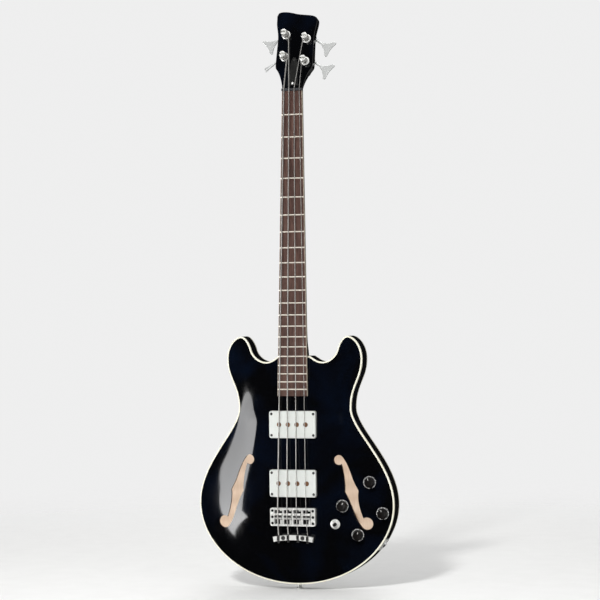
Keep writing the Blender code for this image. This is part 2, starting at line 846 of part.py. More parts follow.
def fingerboard(carrier, clearance=0.0):
    """The tapered, cambered board as a mesh; with a clearance it is the cutter for its seat."""
    length = BOARD_LENGTH + clearance

    def face(level, bend):
        def place(u, v):
            down = length * (1.0 - v)
            x = between(-1.0, 1.0, u) * (board_half_width(down) + clearance)
            return (x, -down, level - (camber(x) if bend else 0.0))
        return place

    return sheet(3, 1, face(0.0, True), face(-BOARD_THICKNESS - clearance, False))


def fret_down(number):
    return SCALE_LENGTH * (1.0 - 2.0 ** (-number / 12))


def frets():
    """All the frets as one mesh of half-buried wires that follow the camber."""
    bm = bmesh.new()
    for number in range(1, FRETS + 1):
        down = fret_down(number)
        half = board_half_width(down) - FRET_INSET
        level = FRET_HEIGHT - FRET_RADIUS
        points = [(half * share, -down, level - camber(half * share)) for share in (-1.0, -1 / 3, 1 / 3, 1.0)]
        mesh = wire(points, FRET_RADIUS, 0)
        bm.from_mesh(mesh)
        bpy.data.meshes.remove(mesh)
    return mesh_from(bm)


def string_x(index, spacing):
    return (index - 1.5) * spacing


def nut(carrier):
    """The nut, with a round-bottomed slot for each string."""
    high = NUT_LIFT + NUT_RISE
    low = -BOARD_THICKNESS
    mesh = box(BOARD_NUT_WIDTH, NUT_THICKNESS - GAP, high - low,
               (0.0, (NUT_THICKNESS + GAP) / 2, (high + low) / 2))
    obj = add("nut", mesh, "black_plastic", carrier)
    for index, radius in enumerate(STRING_RADII):
        x = string_x(index, NUT_SPACING)
        lean = turn(math.pi / 2, "X")
        level = NUT_LIFT - camber(x)
        slot = guide(f"nut_slot_{index + 1}", rod(radius + GAP, -0.012, 0.006, 8), carrier,
                     shift(x, 0.0, level) @ lean)
        mouth = guide(f"nut_mouth_{index + 1}",
                      box(2 * radius + 2 * GAP, 0.016, 0.006, (x, 0.002, level + 0.003)), carrier)
        cut(obj, slot, mouth)
    return obj


def truss_rod(carrier):
    """The rod in its channel under the board, with a hexagonal nut in the headstock's cavity."""
    centre = shift(0.0, 0.0, -BOARD_THICKNESS - GAP - ROD_DEPTH) @ turn(math.pi / 2, "X")
    mesh = rod(ROD_RADIUS, -ROD_HEAD + ROD_NUT_LENGTH / 2, ROD_END, 8)
    obj = add("truss_rod", mesh, "steel", carrier, centre)
    hexagon = guide("rod_nut", rod(ROD_NUT_RADIUS, -ROD_HEAD, -ROD_HEAD + ROD_NUT_LENGTH, 6), carrier, centre)
    join(obj, hexagon)
    return obj


def rod_cover(head):
    """A plain bell-shaped plate over the truss rod's nut."""
    half, narrow = COVER_WIDTH / 2, COVER_TOP_WIDTH / 2
    side = smooth_outline((
        (half, COVER_START, math.pi / 2, 0.0, 0.012, 4),
        (narrow, COVER_START + 0.6 * COVER_LENGTH, math.pi / 2, 0.014, 0.010, 4),
        (0.0, COVER_START + COVER_LENGTH, math.pi, narrow * 0.7, 0.0, 1),
    ))
    outline = side + [(-x, y) for x, y in reversed(side[:-1])]
    low = FACEPLATE + 2 * GAP
    return add("truss_rod_cover", flat([outline], low, low + COVER_THICKNESS), "black_plastic", head)


# Tuners

def gear_outline(twist, phase):
    """The worm wheel's teeth as a ring of points, each tooth a trapezoid."""
    points = []
    for tooth in range(GEAR_TEETH):
        centre = phase + twist + 2 * math.pi * tooth / GEAR_TEETH
        foot = TOOTH_FOOT / 2 / GEAR_ROOT
        tip = TOOTH_TIP / 2 / GEAR_TIP
        for radius, offset in ((GEAR_ROOT, -foot), (GEAR_TIP, -tip), (GEAR_TIP, tip), (GEAR_ROOT, foot)):
            angle = centre + offset
            points.append((radius * math.cos(angle), radius * math.sin(angle)))
    return points


def worm_pitch():
    """The worm's advance in one turn: one tooth of the wheel, on its pitch circle."""
    return 2 * math.pi * (WORM_CENTRES - WORM_PITCH_RADIUS) / GEAR_TEETH


def worm_level():
    """Depth of the worm's axis behind the face of the headstock's wood."""
    return -(HEAD_THICKNESS + GAP + TUNER_PLATE + GAP + WORM_TIP)


def tuner_post(name, hand, slot_angle, carrier):
    """A slotted post with a cap above its waist, and a worm wheel of twisted teeth at its back."""
    level = worm_level()
    cap, waist = POST_CAP_RADIUS, POST_RADIUS
    mesh = turned((
        (0.0, POST_HEIGHT), (cap - 0.0008, POST_HEIGHT), (cap, POST_HEIGHT - 0.0008),
        (cap, POST_HEIGHT - 0.0028), (waist, POST_HEIGHT - 0.0046),
        (waist, level + GEAR_WIDTH / 2 - 0.0005), (0.0035, level + GEAR_WIDTH / 2 - 0.0005),
        (0.0035, level - GEAR_WIDTH / 2 - 0.0016), (0.0, level - GEAR_WIDTH / 2 - 0.0016),
    ), 12)
    obj = add(name, mesh, "chrome", carrier)
    lead = math.atan2(worm_pitch(), 2 * math.pi * WORM_PITCH_RADIUS)
    twist = math.tan(lead) * GEAR_WIDTH / 2 / (WORM_CENTRES - WORM_PITCH_RADIUS)
    towards = hand * math.pi / 2
    phase = towards + math.pi / GEAR_TEETH
    rings = []
    for share in (-1.0, 1.0):
        z = level + share * GEAR_WIDTH / 2
        rings.append([(x, y, z) for x, y in gear_outline(share * twist, phase)])
    join(obj, guide(name + "_wheel", loft(rings), carrier))
    slot = box(2 * cap + 0.004, POST_SLOT, 2 * POST_SLOT_DEPTH)
    cut(obj, guide(name + "_slot", slot, carrier, shift(z=POST_HEIGHT) @ turn(slot_angle, "Z")))
    return obj


def tuner_key(name, hand, blade_turn, shaft_frame):
    """A key: worm, shaft and a flat head of three lobes with hollow sides, in one piece."""
    pitch = worm_pitch()
    flank = between(WORM_CORE, WORM_TIP, 0.62)
    radii = {0: WORM_TIP, 1: flank, WORM_PHASES - 1: flank}
    half = WORM_TURNS * pitch / 2
    facing = -hand * WORM_PHASES // 4

    def ring(z, radius_at):
        points = []
        for side in range(WORM_PHASES):
            angle = 2 * math.pi * side / WORM_PHASES
            radius = radius_at(side)
            points.append((radius * math.cos(angle), radius * math.sin(angle), z))
        return points

    inner_end = -EAR_AT - EAR - 0.0008
    rings = [ring(inner_end, lambda side: STUB_RADIUS), ring(-half - GAP, lambda side: STUB_RADIUS)]
    steps = round(WORM_TURNS * WORM_PHASES)
    for step in range(steps + 1):
        z = -half + step * pitch / WORM_PHASES
        turnwise = step - steps // 2 + facing
        rings.append(ring(z, lambda side: radii.get((turnwise - side) % WORM_PHASES, WORM_CORE)))
    rings.append(ring(half + GAP, lambda side: SHAFT_RADIUS))
    rings.append(ring(KEY_STEM + KEY_LOBE, lambda side: SHAFT_RADIUS))
    obj = add(name, smooth(loft(rings), 45), "chrome", shaft_frame)
    blade = flat([key_outline()], -KEY_THICKNESS / 2, KEY_THICKNESS / 2)
    upright = turn(math.pi / 2 + blade_turn, "Z") @ turn(math.pi / 2, "X")
    join(obj, guide(name + "_blade", blade, shaft_frame, upright))
    return obj


def key_outline():
    """Three round lobes, at the stem and at both outer corners, joined by hollow curves."""
    centres = [Vector((0.0, KEY_STEM)), Vector((KEY_SPREAD, KEY_STEM + KEY_LENGTH)),
               Vector((-KEY_SPREAD, KEY_STEM + KEY_LENGTH))]
    middle = sum(centres, Vector((0.0, 0.0))) / 3
    points = []
    for index, centre in enumerate(centres):
        before = (centre - centres[index - 1]).normalized()
        after = (centres[(index + 1) % 3] - centre).normalized()
        start = math.atan2(-before.x, before.y)
        sweep = before.angle(after)
        for step in range(4):
            angle = start + sweep * step / 3
            points.append(centre + Vector((math.cos(angle), math.sin(angle))) * KEY_LOBE)
        following = centres[(index + 1) % 3]
        outward = ((centre + following) / 2 - middle).normalized()
        for share in (0.25, 0.5, 0.75):
            hollow = KEY_DISH * math.sin(math.pi * share)
            points.append(centre.lerp(following, share) + outward * (KEY_LOBE - hollow))
    return [(point.x, point.y) for point in points]


def tuner_plate(name, hand, carrier):
    """The plate behind the headstock that carries the post and, in two ears, the worm."""
    high = -HEAD_THICKNESS - GAP
    low = high - TUNER_PLATE
    outer = EAR_AT + EAR + 0.0006
    reach = WORM_CENTRES + WORM_TIP + 0.001
    outline = [(-outer, hand * reach)]
    for step in range(9):
        angle = math.pi + hand * math.pi * step / 8
        outline.append((outer * math.cos(angle), outer * math.sin(angle)))
    outline.append((outer, hand * reach))
    obj = add(name, flat([outline, circle(POST_RADIUS + GAP)], low, high), "chrome", carrier)
    for sign in (-1, 1):
        x = sign * (EAR_AT + EAR / 2)
        bottom = worm_level() - SHAFT_RADIUS - EAR_MARGIN
        root = high - TUNER_PLATE / 3
        ear = box(EAR, 2 * (SHAFT_RADIUS + EAR_MARGIN), root - bottom,
                  (x, hand * WORM_CENTRES, (bottom + root) / 2))
        join(obj, guide(f"{name}_ear_{sign}", ear, carrier))
    for sign, radius in ((-1, STUB_RADIUS), (1, SHAFT_RADIUS)):
        x = sign * (EAR_AT + EAR / 2)
        place = shift(x, hand * WORM_CENTRES, worm_level()) @ turn(math.pi / 2, "Y")
        hole = guide(f"{name}_ear_bore_{sign}", rod(radius + GAP, -EAR, EAR, 8), carrier, place)
        cut(obj, hole)
    return obj


def bushing(name, carrier):
    """A flanged bushing pressed into the face of the headstock."""
    foot = FACEPLATE + 2 * GAP
    top = foot + BUSHING_THICKNESS
    bore = POST_RADIUS + GAP
    mesh = turned((
        (bore, top), (BUSHING_RADIUS - 0.0008, top), (BUSHING_RADIUS, foot),
        (SLEEVE_RADIUS, foot), (SLEEVE_RADIUS, -SLEEVE_LENGTH), (bore, -SLEEVE_LENGTH),
    ), 12)
    return add(name, mesh, "chrome", carrier)


# Strings

def string_route(index):
    """The string from its ball end over saddle and nut to its turns on the post, in the body's frame.

    Returns the points, their radius factors and the angle on the post at which it ends.
    """
    radius = STRING_RADII[index]
    to_body = FRAMES["body_frame"].inverted()
    neck_matrix = to_body @ FRAMES["neck_frame"]
    head_matrix = to_body @ FRAMES["head_frame"]
    tail_x = string_x(index, TAIL_SPACING)
    bridge_x = string_x(index, BRIDGE_SPACING)
    nut_x = string_x(index, NUT_SPACING)
    ball_top = tail_middle(tail_x) - TAIL_WIDTH / 2 - GAP
    points = [
        Vector((tail_x, ball_top - BALL_LENGTH, TAIL_STRING_OUT)),
        Vector((tail_x, ball_top - 0.0008, TAIL_STRING_OUT)),
        Vector((tail_x, ball_top, TAIL_STRING_OUT)),
        Vector((tail_x, ball_top + TAIL_WIDTH + 0.001, TAIL_STRING_OUT)),
        saddle_point(index),
        neck_matrix @ Vector((nut_x, 0.0, NUT_LIFT - camber(nut_x))),
        neck_matrix @ Vector((nut_x, NUT_THICKNESS, NUT_LIFT - camber(nut_x) - 0.0002)),
    ]
    factors = [BALL_RADIUS / radius] * 2 + [1.0] * 5
    start = head_matrix.inverted() @ points[-1]
    post = Vector(POSTS[index])
    inner = 1.0 if post.x < 0.0 else -1.0
    coil = POST_RADIUS + GAP + radius
    aim = post - start.xy
    angle = math.atan2(aim.y, aim.x) - inner * math.asin(coil / aim.length)
    meet = angle - inner * math.pi / 2
    pitch = 2 * radius + WRAP_GAP
    level = FACEPLATE + 2 * GAP + BUSHING_THICKNESS + radius + 0.001
    steps = round(WRAPS[index] * LOOP_POINTS)
    wraps = []
    for step in range(steps + 1):
        share = step / LOOP_POINTS
        at = meet + inner * 2 * math.pi * share
        around = (post.x + coil * math.cos(at), post.y + coil * math.sin(at))
        wraps.append(Vector((*around, level + pitch * share)))
    nearest = min(
        (first - second).length - 2 * radius
        for number, first in enumerate(wraps) for second in wraps[number + LOOP_POINTS // 2:]
    )
    print(f"string {index + 1}: least gap between its turns {nearest * 1000:.2f} mm")
    points += [head_matrix @ place for place in wraps]
    factors += [1.0] * len(wraps)
    return points, factors, meet + inner * 2 * math.pi * steps / LOOP_POINTS


def saddle_point(index):
    """Where a string crosses its saddle, in the body's frame."""
    x = string_x(index, BRIDGE_SPACING)
    return Vector((x, SADDLE_UP, STRING_OUT - camber(x)))


# Bridge and tailpiece

def bridge_base_level():
    return top_out(0.0, SADDLE_UP + BRIDGE_SHIFT) + GAP


def bridge(carrier):
    """The bridge frame: a plate with four bays, an adjusting screw in each and three holes at each end."""
    low = bridge_base_level()
    high = low + BRIDGE_HEIGHT
    middle = SADDLE_UP + BRIDGE_SHIFT
    place = shift(0.0, middle, 0.0)
    mesh = flat([rounded_rectangle(BRIDGE_WIDTH, BRIDGE_LENGTH, BRIDGE_CORNER)], low, high)
    obj = add("bridge_base", mesh, "chrome", carrier, place)
    for index in range(4):
        x = string_x(index, BRIDGE_SPACING)
        bay = box(BAY_WIDTH, BAY_LENGTH, high, (x, 0.0, low + BRIDGE_FLOOR + high / 2))
        cut(obj, guide(f"bridge_bay_{index + 1}", bay, carrier, place))
    for index in range(4):
        x = string_x(index, BRIDGE_SPACING)
        half = BAY_LENGTH / 2 + 0.001
        screw = rod(SADDLE_SCREW, -half, half, 6)
        along = shift(x, middle, SADDLE_SCREW_OUT) @ turn(math.pi / 2, "X")
        join(obj, guide(f"bridge_screw_{index + 1}", screw, carrier, along))
    for side in (-1, 1):
        for row in (-1, 0, 1):
            hole = rod(BRIDGE_HOLE, low - 0.001, high + 0.001, 8)
            spot = shift(side * BRIDGE_HOLE_X, middle + row * BRIDGE_HOLE_SPACING, 0.0)
            cut(obj, guide(f"bridge_hole_{side}_{row}", hole, carrier, spot))
    return obj


def saddle(index, carrier):
    """A saddle: a block with a sloped crest, notched for its string and bored for its screw."""
    crossing = saddle_point(index)
    radius = STRING_RADII[index]
    low = bridge_base_level() + BRIDGE_FLOOR + GAP - crossing.z
    shoulder = -radius - SADDLE_SHOULDER
    crest = -radius * 0.4
    half = SADDLE_LENGTH / 2
    ridge = [(0.0013, crest), (-0.0004, crest)]
    outline = [(-half, low), (half, low), (half, shoulder), *ridge, (-half, shoulder)]
    mesh = flat([outline], -SADDLE_WIDTH / 2, SADDLE_WIDTH / 2)
    upright = turn(math.pi / 2, "Z") @ turn(math.pi / 2, "X")
    mesh.transform(upright)
    name = f"saddle_{index + 1}"
    obj = add(name, mesh, "chrome", carrier, Matrix.Translation(crossing))
    groove = rod(radius + GAP, -SADDLE_LENGTH, SADDLE_LENGTH, 8)
    slope = (STRING_OUT - TAIL_STRING_OUT) / (SADDLE_UP - TAIL_UP - TAIL_WIDTH / 2)
    tail_lean = math.atan(slope)
    lift = Matrix.Translation(crossing)
    level_run = lift @ shift(y=SADDLE_LENGTH * 0.9) @ turn(math.pi / 2, "X")
    level = guide(name + "_groove", groove, carrier, level_run)
    down = guide(name + "_groove_back", rod(radius + GAP, 0.0, SADDLE_LENGTH, 8), carrier,
                 lift @ turn(math.pi / 2 + tail_lean, "X"))
    along = shift(crossing.x, crossing.y, SADDLE_SCREW_OUT) @ turn(math.pi / 2, "X")
    hole = guide(name + "_bore", rod(SADDLE_SCREW + GAP, -SADDLE_LENGTH, SADDLE_LENGTH, 6), carrier, along)
    cut(obj, level, down, hole)
    return obj


def tail_middle(x):
    """Height of the tailpiece's middle line at x: a shallow bow, highest in the middle."""
    bow_radius = ((TAIL_LENGTH / 2) ** 2 + TAIL_BOW ** 2) / (2 * TAIL_BOW)
    return TAIL_UP + math.sqrt(bow_radius ** 2 - x * x) - bow_radius


def tailpiece(carrier):
    """A bowed bar whose top is slotted for the strings, which leaves five raised blocks."""
    count = 6
    xs = [between(-TAIL_LENGTH / 2, TAIL_LENGTH / 2, step / count) for step in range(count + 1)]
    upper = [(x, tail_middle(x) + TAIL_WIDTH / 2) for x in xs]
    lower = [(x * 0.97, tail_middle(x) - TAIL_WIDTH / 2) for x in reversed(xs)]
    high = TAIL_OUT + TAIL_FLOOR + TAIL_BLOCK
    obj = add("tailpiece", flat([upper + lower], TAIL_OUT, high), "chrome", carrier)
    for index in range(4):
        x = string_x(index, TAIL_SPACING)
        slot = box(TAIL_SLOT, 3 * TAIL_WIDTH, TAIL_BLOCK + 0.002,
                   (x, TAIL_UP, high - TAIL_BLOCK / 2 + 0.001))
        cut(obj, guide(f"tail_slot_{index + 1}", slot, carrier))
    for side in (-1, 1):
        place = shift(side * TAIL_POST_X, tail_middle(TAIL_POST_X))
        shank = rod(TAIL_POST_RADIUS + GAP, TAIL_OUT - 0.001, high, 10)
        bore = guide(f"tail_bore_{side}", shank, carrier, place)
        head = rod(TAIL_POST_HEAD + GAP, high - TAIL_POST_HEAD_DEPTH, high + 0.001)
        seat = guide(f"tail_seat_{side}", head, carrier, place)
        cut(obj, bore, seat)
    return obj


def tailpiece_post(side, carrier):
    """A screw through the tailpiece, with a collar that holds the bar off the top."""
    y = tail_middle(TAIL_POST_X)
    high = TAIL_OUT + TAIL_FLOOR + TAIL_BLOCK
    under = TAIL_OUT - GAP
    ground = top_out(TAIL_POST_X, y + TAIL_POST_COLLAR) + GAP
    head, shank, collar = TAIL_POST_HEAD, TAIL_POST_RADIUS, TAIL_POST_COLLAR
    seat = high - TAIL_POST_HEAD_DEPTH + GAP
    mesh = turned((
        (0.0, high), (head, high), (head, seat), (shank, seat), (shank, under), (collar, under),
        (collar, ground), (shank, ground), (shank, high - TAIL_POST_LENGTH), (0.0, high - TAIL_POST_LENGTH),
    ), 10)
    name = "tailpiece_post_treble" if side > 0 else "tailpiece_post_bass"
    return add(name, mesh, "chrome", carrier, shift(side * TAIL_POST_X, y))


# Pickups

def pickup_cover(name, index, carrier):
    """A metal cover: a shell with rounded corners, open below, with a hole for each pole."""
    top = PICKUP_OUT[index]
    low = ROUT_FLOOR + GAP
    outer = rounded_rectangle(PICKUP_WIDTH, PICKUP_LENGTH, PICKUP_CORNER)
    inner = rounded_rectangle(PICKUP_WIDTH - 2 * PICKUP_WALL, PICKUP_LENGTH - 2 * PICKUP_WALL,
                              PICKUP_CORNER - PICKUP_WALL)
    place = shift(0.0, PICKUP_UP[index])
    obj = add(name, flat([outer], low, top), "chrome", carrier, place)
    cut(obj, guide(name + "_hollow", flat([inner], low - 0.001, top - PICKUP_WALL), carrier, place))
    for pole in range(4):
        spot = shift(string_x(pole, POLE_SPACING[index]), PICKUP_UP[index])
        hole = rod(POLE_RADIUS + GAP, top - 2 * PICKUP_WALL, top + 0.001, 10)
        cut(obj, guide(f"{name}_hole_{pole + 1}", hole, carrier, spot))
    return obj


def pickup_coil(name, index, carrier):
    """The wound bobbin inside the cover, with its four poles."""
    top = PICKUP_OUT[index]
    low = ROUT_FLOOR + GAP
    bobbin_top = top - PICKUP_WALL - GAP
    outline = rounded_rectangle(COIL_WIDTH, COIL_LENGTH, COIL_LENGTH * 0.45)
    place = shift(0.0, PICKUP_UP[index])
    obj = add(name, flat([outline], low, bobbin_top), "copper", carrier, place)
    for pole in range(4):
        spot = shift(string_x(pole, POLE_SPACING[index]), PICKUP_UP[index])
        core = rod(POLE_RADIUS, bobbin_top - 0.002, top, 10)
        join(obj, guide(f"{name}_pole_{pole + 1}", core, carrier, spot))
    return obj


# Controls

def knob(name, carrier):
    """A knob with a skirt and a tapered grip, bored for the shaft."""
    low, top = KNOB_LIFT, KNOB_LIFT + KNOB_HEIGHT
    bore = POT_SHAFT + GAP
    floor = POT_SHAFT_TOP + GAP
    mesh = turned((
        (0.0, top), (0.0086, top), (0.0093, top - 0.0008), (0.0100, low + 0.0034),
        (KNOB_RADIUS, low + 0.0020), (KNOB_RADIUS, low), (bore, low), (bore, floor), (0.0, floor),
    ), 14)
    return add(name, mesh, "black_plastic", carrier)


def potentiometer(name, carrier):
    """A potentiometer: shaft, threaded neck through the top, and round case."""
    under = -PLATE - CASE_GAP
    neck_top = KNOB_LIFT - GAP
    mesh = turned((
        (0.0, POT_SHAFT_TOP), (POT_SHAFT, POT_SHAFT_TOP), (POT_SHAFT, neck_top), (POT_BUSHING, neck_top),
        (POT_BUSHING, under), (POT_RADIUS, under), (POT_RADIUS, under - POT_DEPTH), (0.0, under - POT_DEPTH),
    ), 12)
    return add(name, mesh, "zinc", carrier)


def switch(carrier):
    """The three-way toggle: body under the top, ring on it, and the lever on its ball."""
    under = -PLATE - CASE_GAP
    neck_top = 0.0030
    floor = SWITCH_PIVOT - LEVER_BALL - 0.0012
    body = turned((
        (0.0, floor), (SWITCH_BORE, floor), (SWITCH_BORE, neck_top), (SWITCH_BUSHING, neck_top),
        (SWITCH_BUSHING, under), (SWITCH_BODY, under), (SWITCH_BODY, under - SWITCH_DEPTH),
        (0.0, under - SWITCH_DEPTH),
    ), 12)
    add("switch_body", body, "black_plastic", carrier)
    inner = SWITCH_BUSHING + GAP
    ring = turned((
        (inner, 0.0026), (SWITCH_RING - 0.0012, 0.0026), (SWITCH_RING, 0.0016), (SWITCH_RING, 0.0008),
        (inner, 0.0008),
    ), 14)
    add("switch_ring", ring, "chrome", carrier)
    ball = LEVER_BALL
    lever = turned((
        (0.0, LEVER_TOP), (0.0022, LEVER_TOP - 0.0008), (0.0032, LEVER_TOP - 0.0030),
        (0.0030, LEVER_TOP - 0.0060), (0.0017, 0.0050), (0.0015, ball * 0.85), (ball * 0.8, ball * 0.6),
        (ball, 0.0), (ball * 0.7, -ball * 0.7), (0.0, -ball),
    ), 10)
    lever_frame = frame("switch_lever_axis", shift(z=SWITCH_PIVOT), carrier)
    add("switch_lever", lever, "black_plastic", lever_frame)


# Jack and strap buttons

def jack_matrix():
    """The jack's place on the edge of the treble lower bout, with z square to the rim."""
    half = EDGE[:len(EDGE) // 2]
    index = next(i for i in range(len(half)) if half[i + 1][1] > JACK_UP)
    start, end = half[index], half[index + 1]
    share = (JACK_UP - start[1]) / (end[1] - start[1])
    x, y = start + (end - start) * share
    along = (end - start) / np.linalg.norm(end - start)
    z_axis = Vector((along[1], -along[0], 0.0))
    x_axis = Vector((along[0], along[1], 0.0))
    y_axis = z_axis.cross(x_axis)
    basis = Matrix((x_axis, y_axis, z_axis)).transposed().to_4x4()
    return Matrix.Translation((x, y, 0.0)) @ basis


def jack(carrier):
    """The socket plate and the socket: a threaded sleeve with its nut."""
    hole = JACK_BARREL + GAP
    outline = rounded_rectangle(JACK_PLATE, JACK_PLATE, 0.005)
    high = GAP + JACK_PLATE_THICKNESS
    obj = add("jack_plate", flat([outline], GAP, high), "chrome", carrier)
    cut(obj, guide("jack_plate_bore", rod(hole, 0.0, 0.01), carrier))
    nut_low = high + GAP
    mesh = turned((
        (JACK_BORE, nut_low + JACK_NUT_HEIGHT), (JACK_NUT - 0.0008, nut_low + JACK_NUT_HEIGHT),
        (JACK_NUT, nut_low + JACK_NUT_HEIGHT - 0.0008), (JACK_NUT, nut_low), (JACK_BARREL, nut_low),
        (JACK_BARREL, -JACK_LENGTH), (JACK_BORE, -JACK_LENGTH),
    ), 14)
    add("jack_socket", mesh, "chrome", carrier)


def strap_button(name, carrier, screw_length):
    """A turned strap button with its screw; its flat outer face is BUTTON_LENGTH off the body."""
    high = BUTTON_LENGTH
    mesh = turned((
        (0.0, high), (BUTTON_FLANGE - 0.001, high), (BUTTON_FLANGE, high - 0.001),
        (BUTTON_FLANGE, high - 0.0024), (BUTTON_NECK + 0.0004, high - 0.0045),
        (BUTTON_NECK, high - 0.0062), (BUTTON_FOOT - 0.0006, 0.0020),
        (BUTTON_FOOT, 0.0012), (BUTTON_FOOT, GAP), (BUTTON_SCREW, GAP), (BUTTON_SCREW, -screw_length),
        (0.0, -screw_length),
    ), 12)
    return add(name, mesh, "chrome", carrier)


# Assembly

def build_body(body):
    top = plate("body_top", top_out, 1, body)
    back = plate("body_back", back_out, -1, body)
    rims = [rim("rim_bass", -1, body), rim("rim_treble", 1, body)]
    block = centre_block(body)
    bindings = [binding("binding_front", 1, body), binding("binding_back", -1, body)]
    for side in (-1, 1):
        cut(top, f_hole(side, body))
    for index in range(2):
        width = PICKUP_WIDTH + 2 * ROUT_CLEARANCE
        length = PICKUP_LENGTH + 2 * ROUT_CLEARANCE
        outline = rounded_rectangle(width, length, PICKUP_CORNER + ROUT_CLEARANCE)
        rout = guide(f"rout_{index + 1}", flat([outline], ROUT_FLOOR, RIM_DEPTH), body,
                     shift(0.0, PICKUP_UP[index]))
        cut(top, rout)
        cut(block, rout)
    return top, back, rims, block, bindings


def build_neck(body_pieces, neck_frame, head):
    top, back, rims, block, bindings = body_pieces
    wood = neck(neck_frame, head)
    face = faceplate(head)
    board = add("fretboard", smooth(fingerboard(neck_frame), 30), "rosewood", neck_frame)
    join(board, guide("frets", frets(), neck_frame))
    nut(neck_frame)
    truss_rod(neck_frame)
    rod_cover(head)
    cavity = guide("rod_cavity", box(CAVITY_WIDTH, CAVITY_LENGTH, 2 * CAVITY_DEPTH,
                                     (0.0, COVER_START + 0.0012 + CAVITY_LENGTH / 2, 0.0)), head)
    cut(wood, cavity)
    cut(face, cavity)
    seat = guide("board_seat", fingerboard(neck_frame, GAP), neck_frame)
    cut(top, seat)
    start = heel_down(-BOARD_THICKNESS) - 0.02
    length = TENON_END + GAP - start
    width, depth = TENON_WIDTH + 2 * GAP, TENON_DEPTH + GAP + 0.012
    level = -BOARD_THICKNESS - TENON_DEPTH - 2 * GAP + depth / 2
    tool = box(width, length, depth, (0.0, -start - length / 2, level))
    pocket = guide("neck_pocket", tool, neck_frame)
    cut(block, pocket)
    cut(top, pocket)
    for piece in rims + bindings[:1]:
        cut(piece, pocket)
    return wood, face


def build_tuners(wood, face, head, body):
    for index, (x, y) in enumerate(POSTS):
        hand = 1 if x > 0.0 else -1
        way = -TUNER_SLANT if hand > 0 else math.pi + TUNER_SLANT
        number = index + 1
        place = frame(f"tuner_{number}", shift(x, y) @ turn(way, "Z"), head)
        axis = shift(0.0, hand * WORM_CENTRES, worm_level()) @ turn(math.pi / 2, "Y")
        shaft = frame(f"tuner_key_axis_{number}", axis, place)
        points, factors, end = string_route(index)
        radius = STRING_RADII[index]
        add(f"string_{number}", wire(points, radius, 1, factors), "steel", body)
        tuner_post(f"tuner_post_{number}", hand, end - way, place)
        tuner_key(f"tuner_key_{number}", hand, KEY_TURNS[index], shaft)
        tuner_plate(f"tuner_plate_{number}", hand, place)
        bushing(f"tuner_bushing_{number}", place)
        sleeve = guide(f"sleeve_hole_{number}", rod(SLEEVE_RADIUS + GAP, -SLEEVE_LENGTH - GAP, 0.01), place)
        through = guide(f"post_hole_{number}", rod(POST_RADIUS + 2 * GAP, -0.02, 0.0, 8), place)
        cut(wood, sleeve, through)
        cut(face, sleeve)


def build_hardware(body_pieces, body):
    top, back, rims, block, bindings = body_pieces
    bridge(body)
    for index in range(4):
        saddle(index, body)
    tailpiece(body)
    for side in (-1, 1):
        tailpiece_post(side, body)
        y = tail_middle(TAIL_POST_X)
        hole = guide(f"tail_post_hole_{side}", rod(TAIL_POST_RADIUS + GAP, 0.015, RIM_DEPTH, 10), body,
                     shift(side * TAIL_POST_X, y))
        cut(top, hole)
        cut(block, hole)
    for index, name in enumerate(("neck", "bridge")):
        pickup_cover(f"pickup_cover_{name}", index, body)
        pickup_coil(f"pickup_coil_{name}", index, body)
    for index, (x, y) in enumerate(KNOBS):
        number = index + 1
        place = frame(f"control_{number}", on_surface(x, y, top_out), body)
        knob(f"knob_{number}", place)
        potentiometer(f"potentiometer_{number}", place)
        cut(top, guide(f"control_hole_{number}", rod(POT_BUSHING + GAP, -0.02, 0.01, 10), place))
    place = frame("switch", on_surface(*SWITCH, top_out), body)
    switch(place)
    cut(top, guide("switch_hole", rod(SWITCH_BUSHING + GAP, -0.02, 0.01), place))
    place = frame("jack", jack_matrix(), body)
    jack(place)
    cut(rims[1], guide("jack_hole", rod(JACK_BARREL + GAP, -0.03, 0.01), place))


def build_buttons(body_pieces, body):
    top, back, rims, block, bindings = body_pieces
    down = frame("end_button", turn(math.pi / 2, "X"), body)
    strap_button("strap_button_end", down, END_SCREW_LENGTH)
    hole = guide("end_screw_hole", rod(BUTTON_SCREW + GAP, -END_SCREW_LENGTH - GAP, 0.005, 10), down)
    for piece in rims + [block]:
        cut(piece, hole)
    behind = frame("upper_button", on_surface(0.0, UPPER_BUTTON_UP, back_out) @ shift(z=GAP), body)
    strap_button("strap_button_upper", behind, UPPER_SCREW_LENGTH)
    hole = guide("upper_screw_hole", rod(BUTTON_SCREW + GAP, -UPPER_SCREW_LENGTH - GAP, 0.005, 10), behind)
    cut(back, hole)
    cut(block, hole)


def build():
    start_scene()
    body = frame("body_frame", shift(z=BUTTON_LENGTH) @ turn(math.pi / 2, "X"))
    neck_place = (shift(0.0, SADDLE_UP, STRING_OUT) @ turn(-NECK_ANGLE, "X")
                  @ shift(0.0, SCALE_LENGTH, -SADDLE_LIFT))
    neck_frame = frame("neck_frame", neck_place, body)
    head_place = shift(0.0, NUT_THICKNESS, -BOARD_THICKNESS - GAP) @ turn(-HEAD_ANGLE, "X")
    head = frame("head_frame", head_place, neck_frame)
    pieces = build_body(body)
    wood, face = build_neck(pieces, neck_frame, head)
    build_tuners(wood, face, head, body)
    build_hardware(pieces, body)
    build_buttons(pieces, body)
    bpy.context.view_layer.update()


build()
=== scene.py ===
"""Looks of the electric bass guitar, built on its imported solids.

Metres, +Z up, front towards -Y, treble side towards +X. Pieces are made in the same frames as the solids
(x to the treble side, y up the instrument, z out of its front) and then placed in the world.
"""

import math

import bmesh
import bpy
import numpy as np
from mathutils import Matrix, Vector
from mathutils.geometry import delaunay_2d_cdt


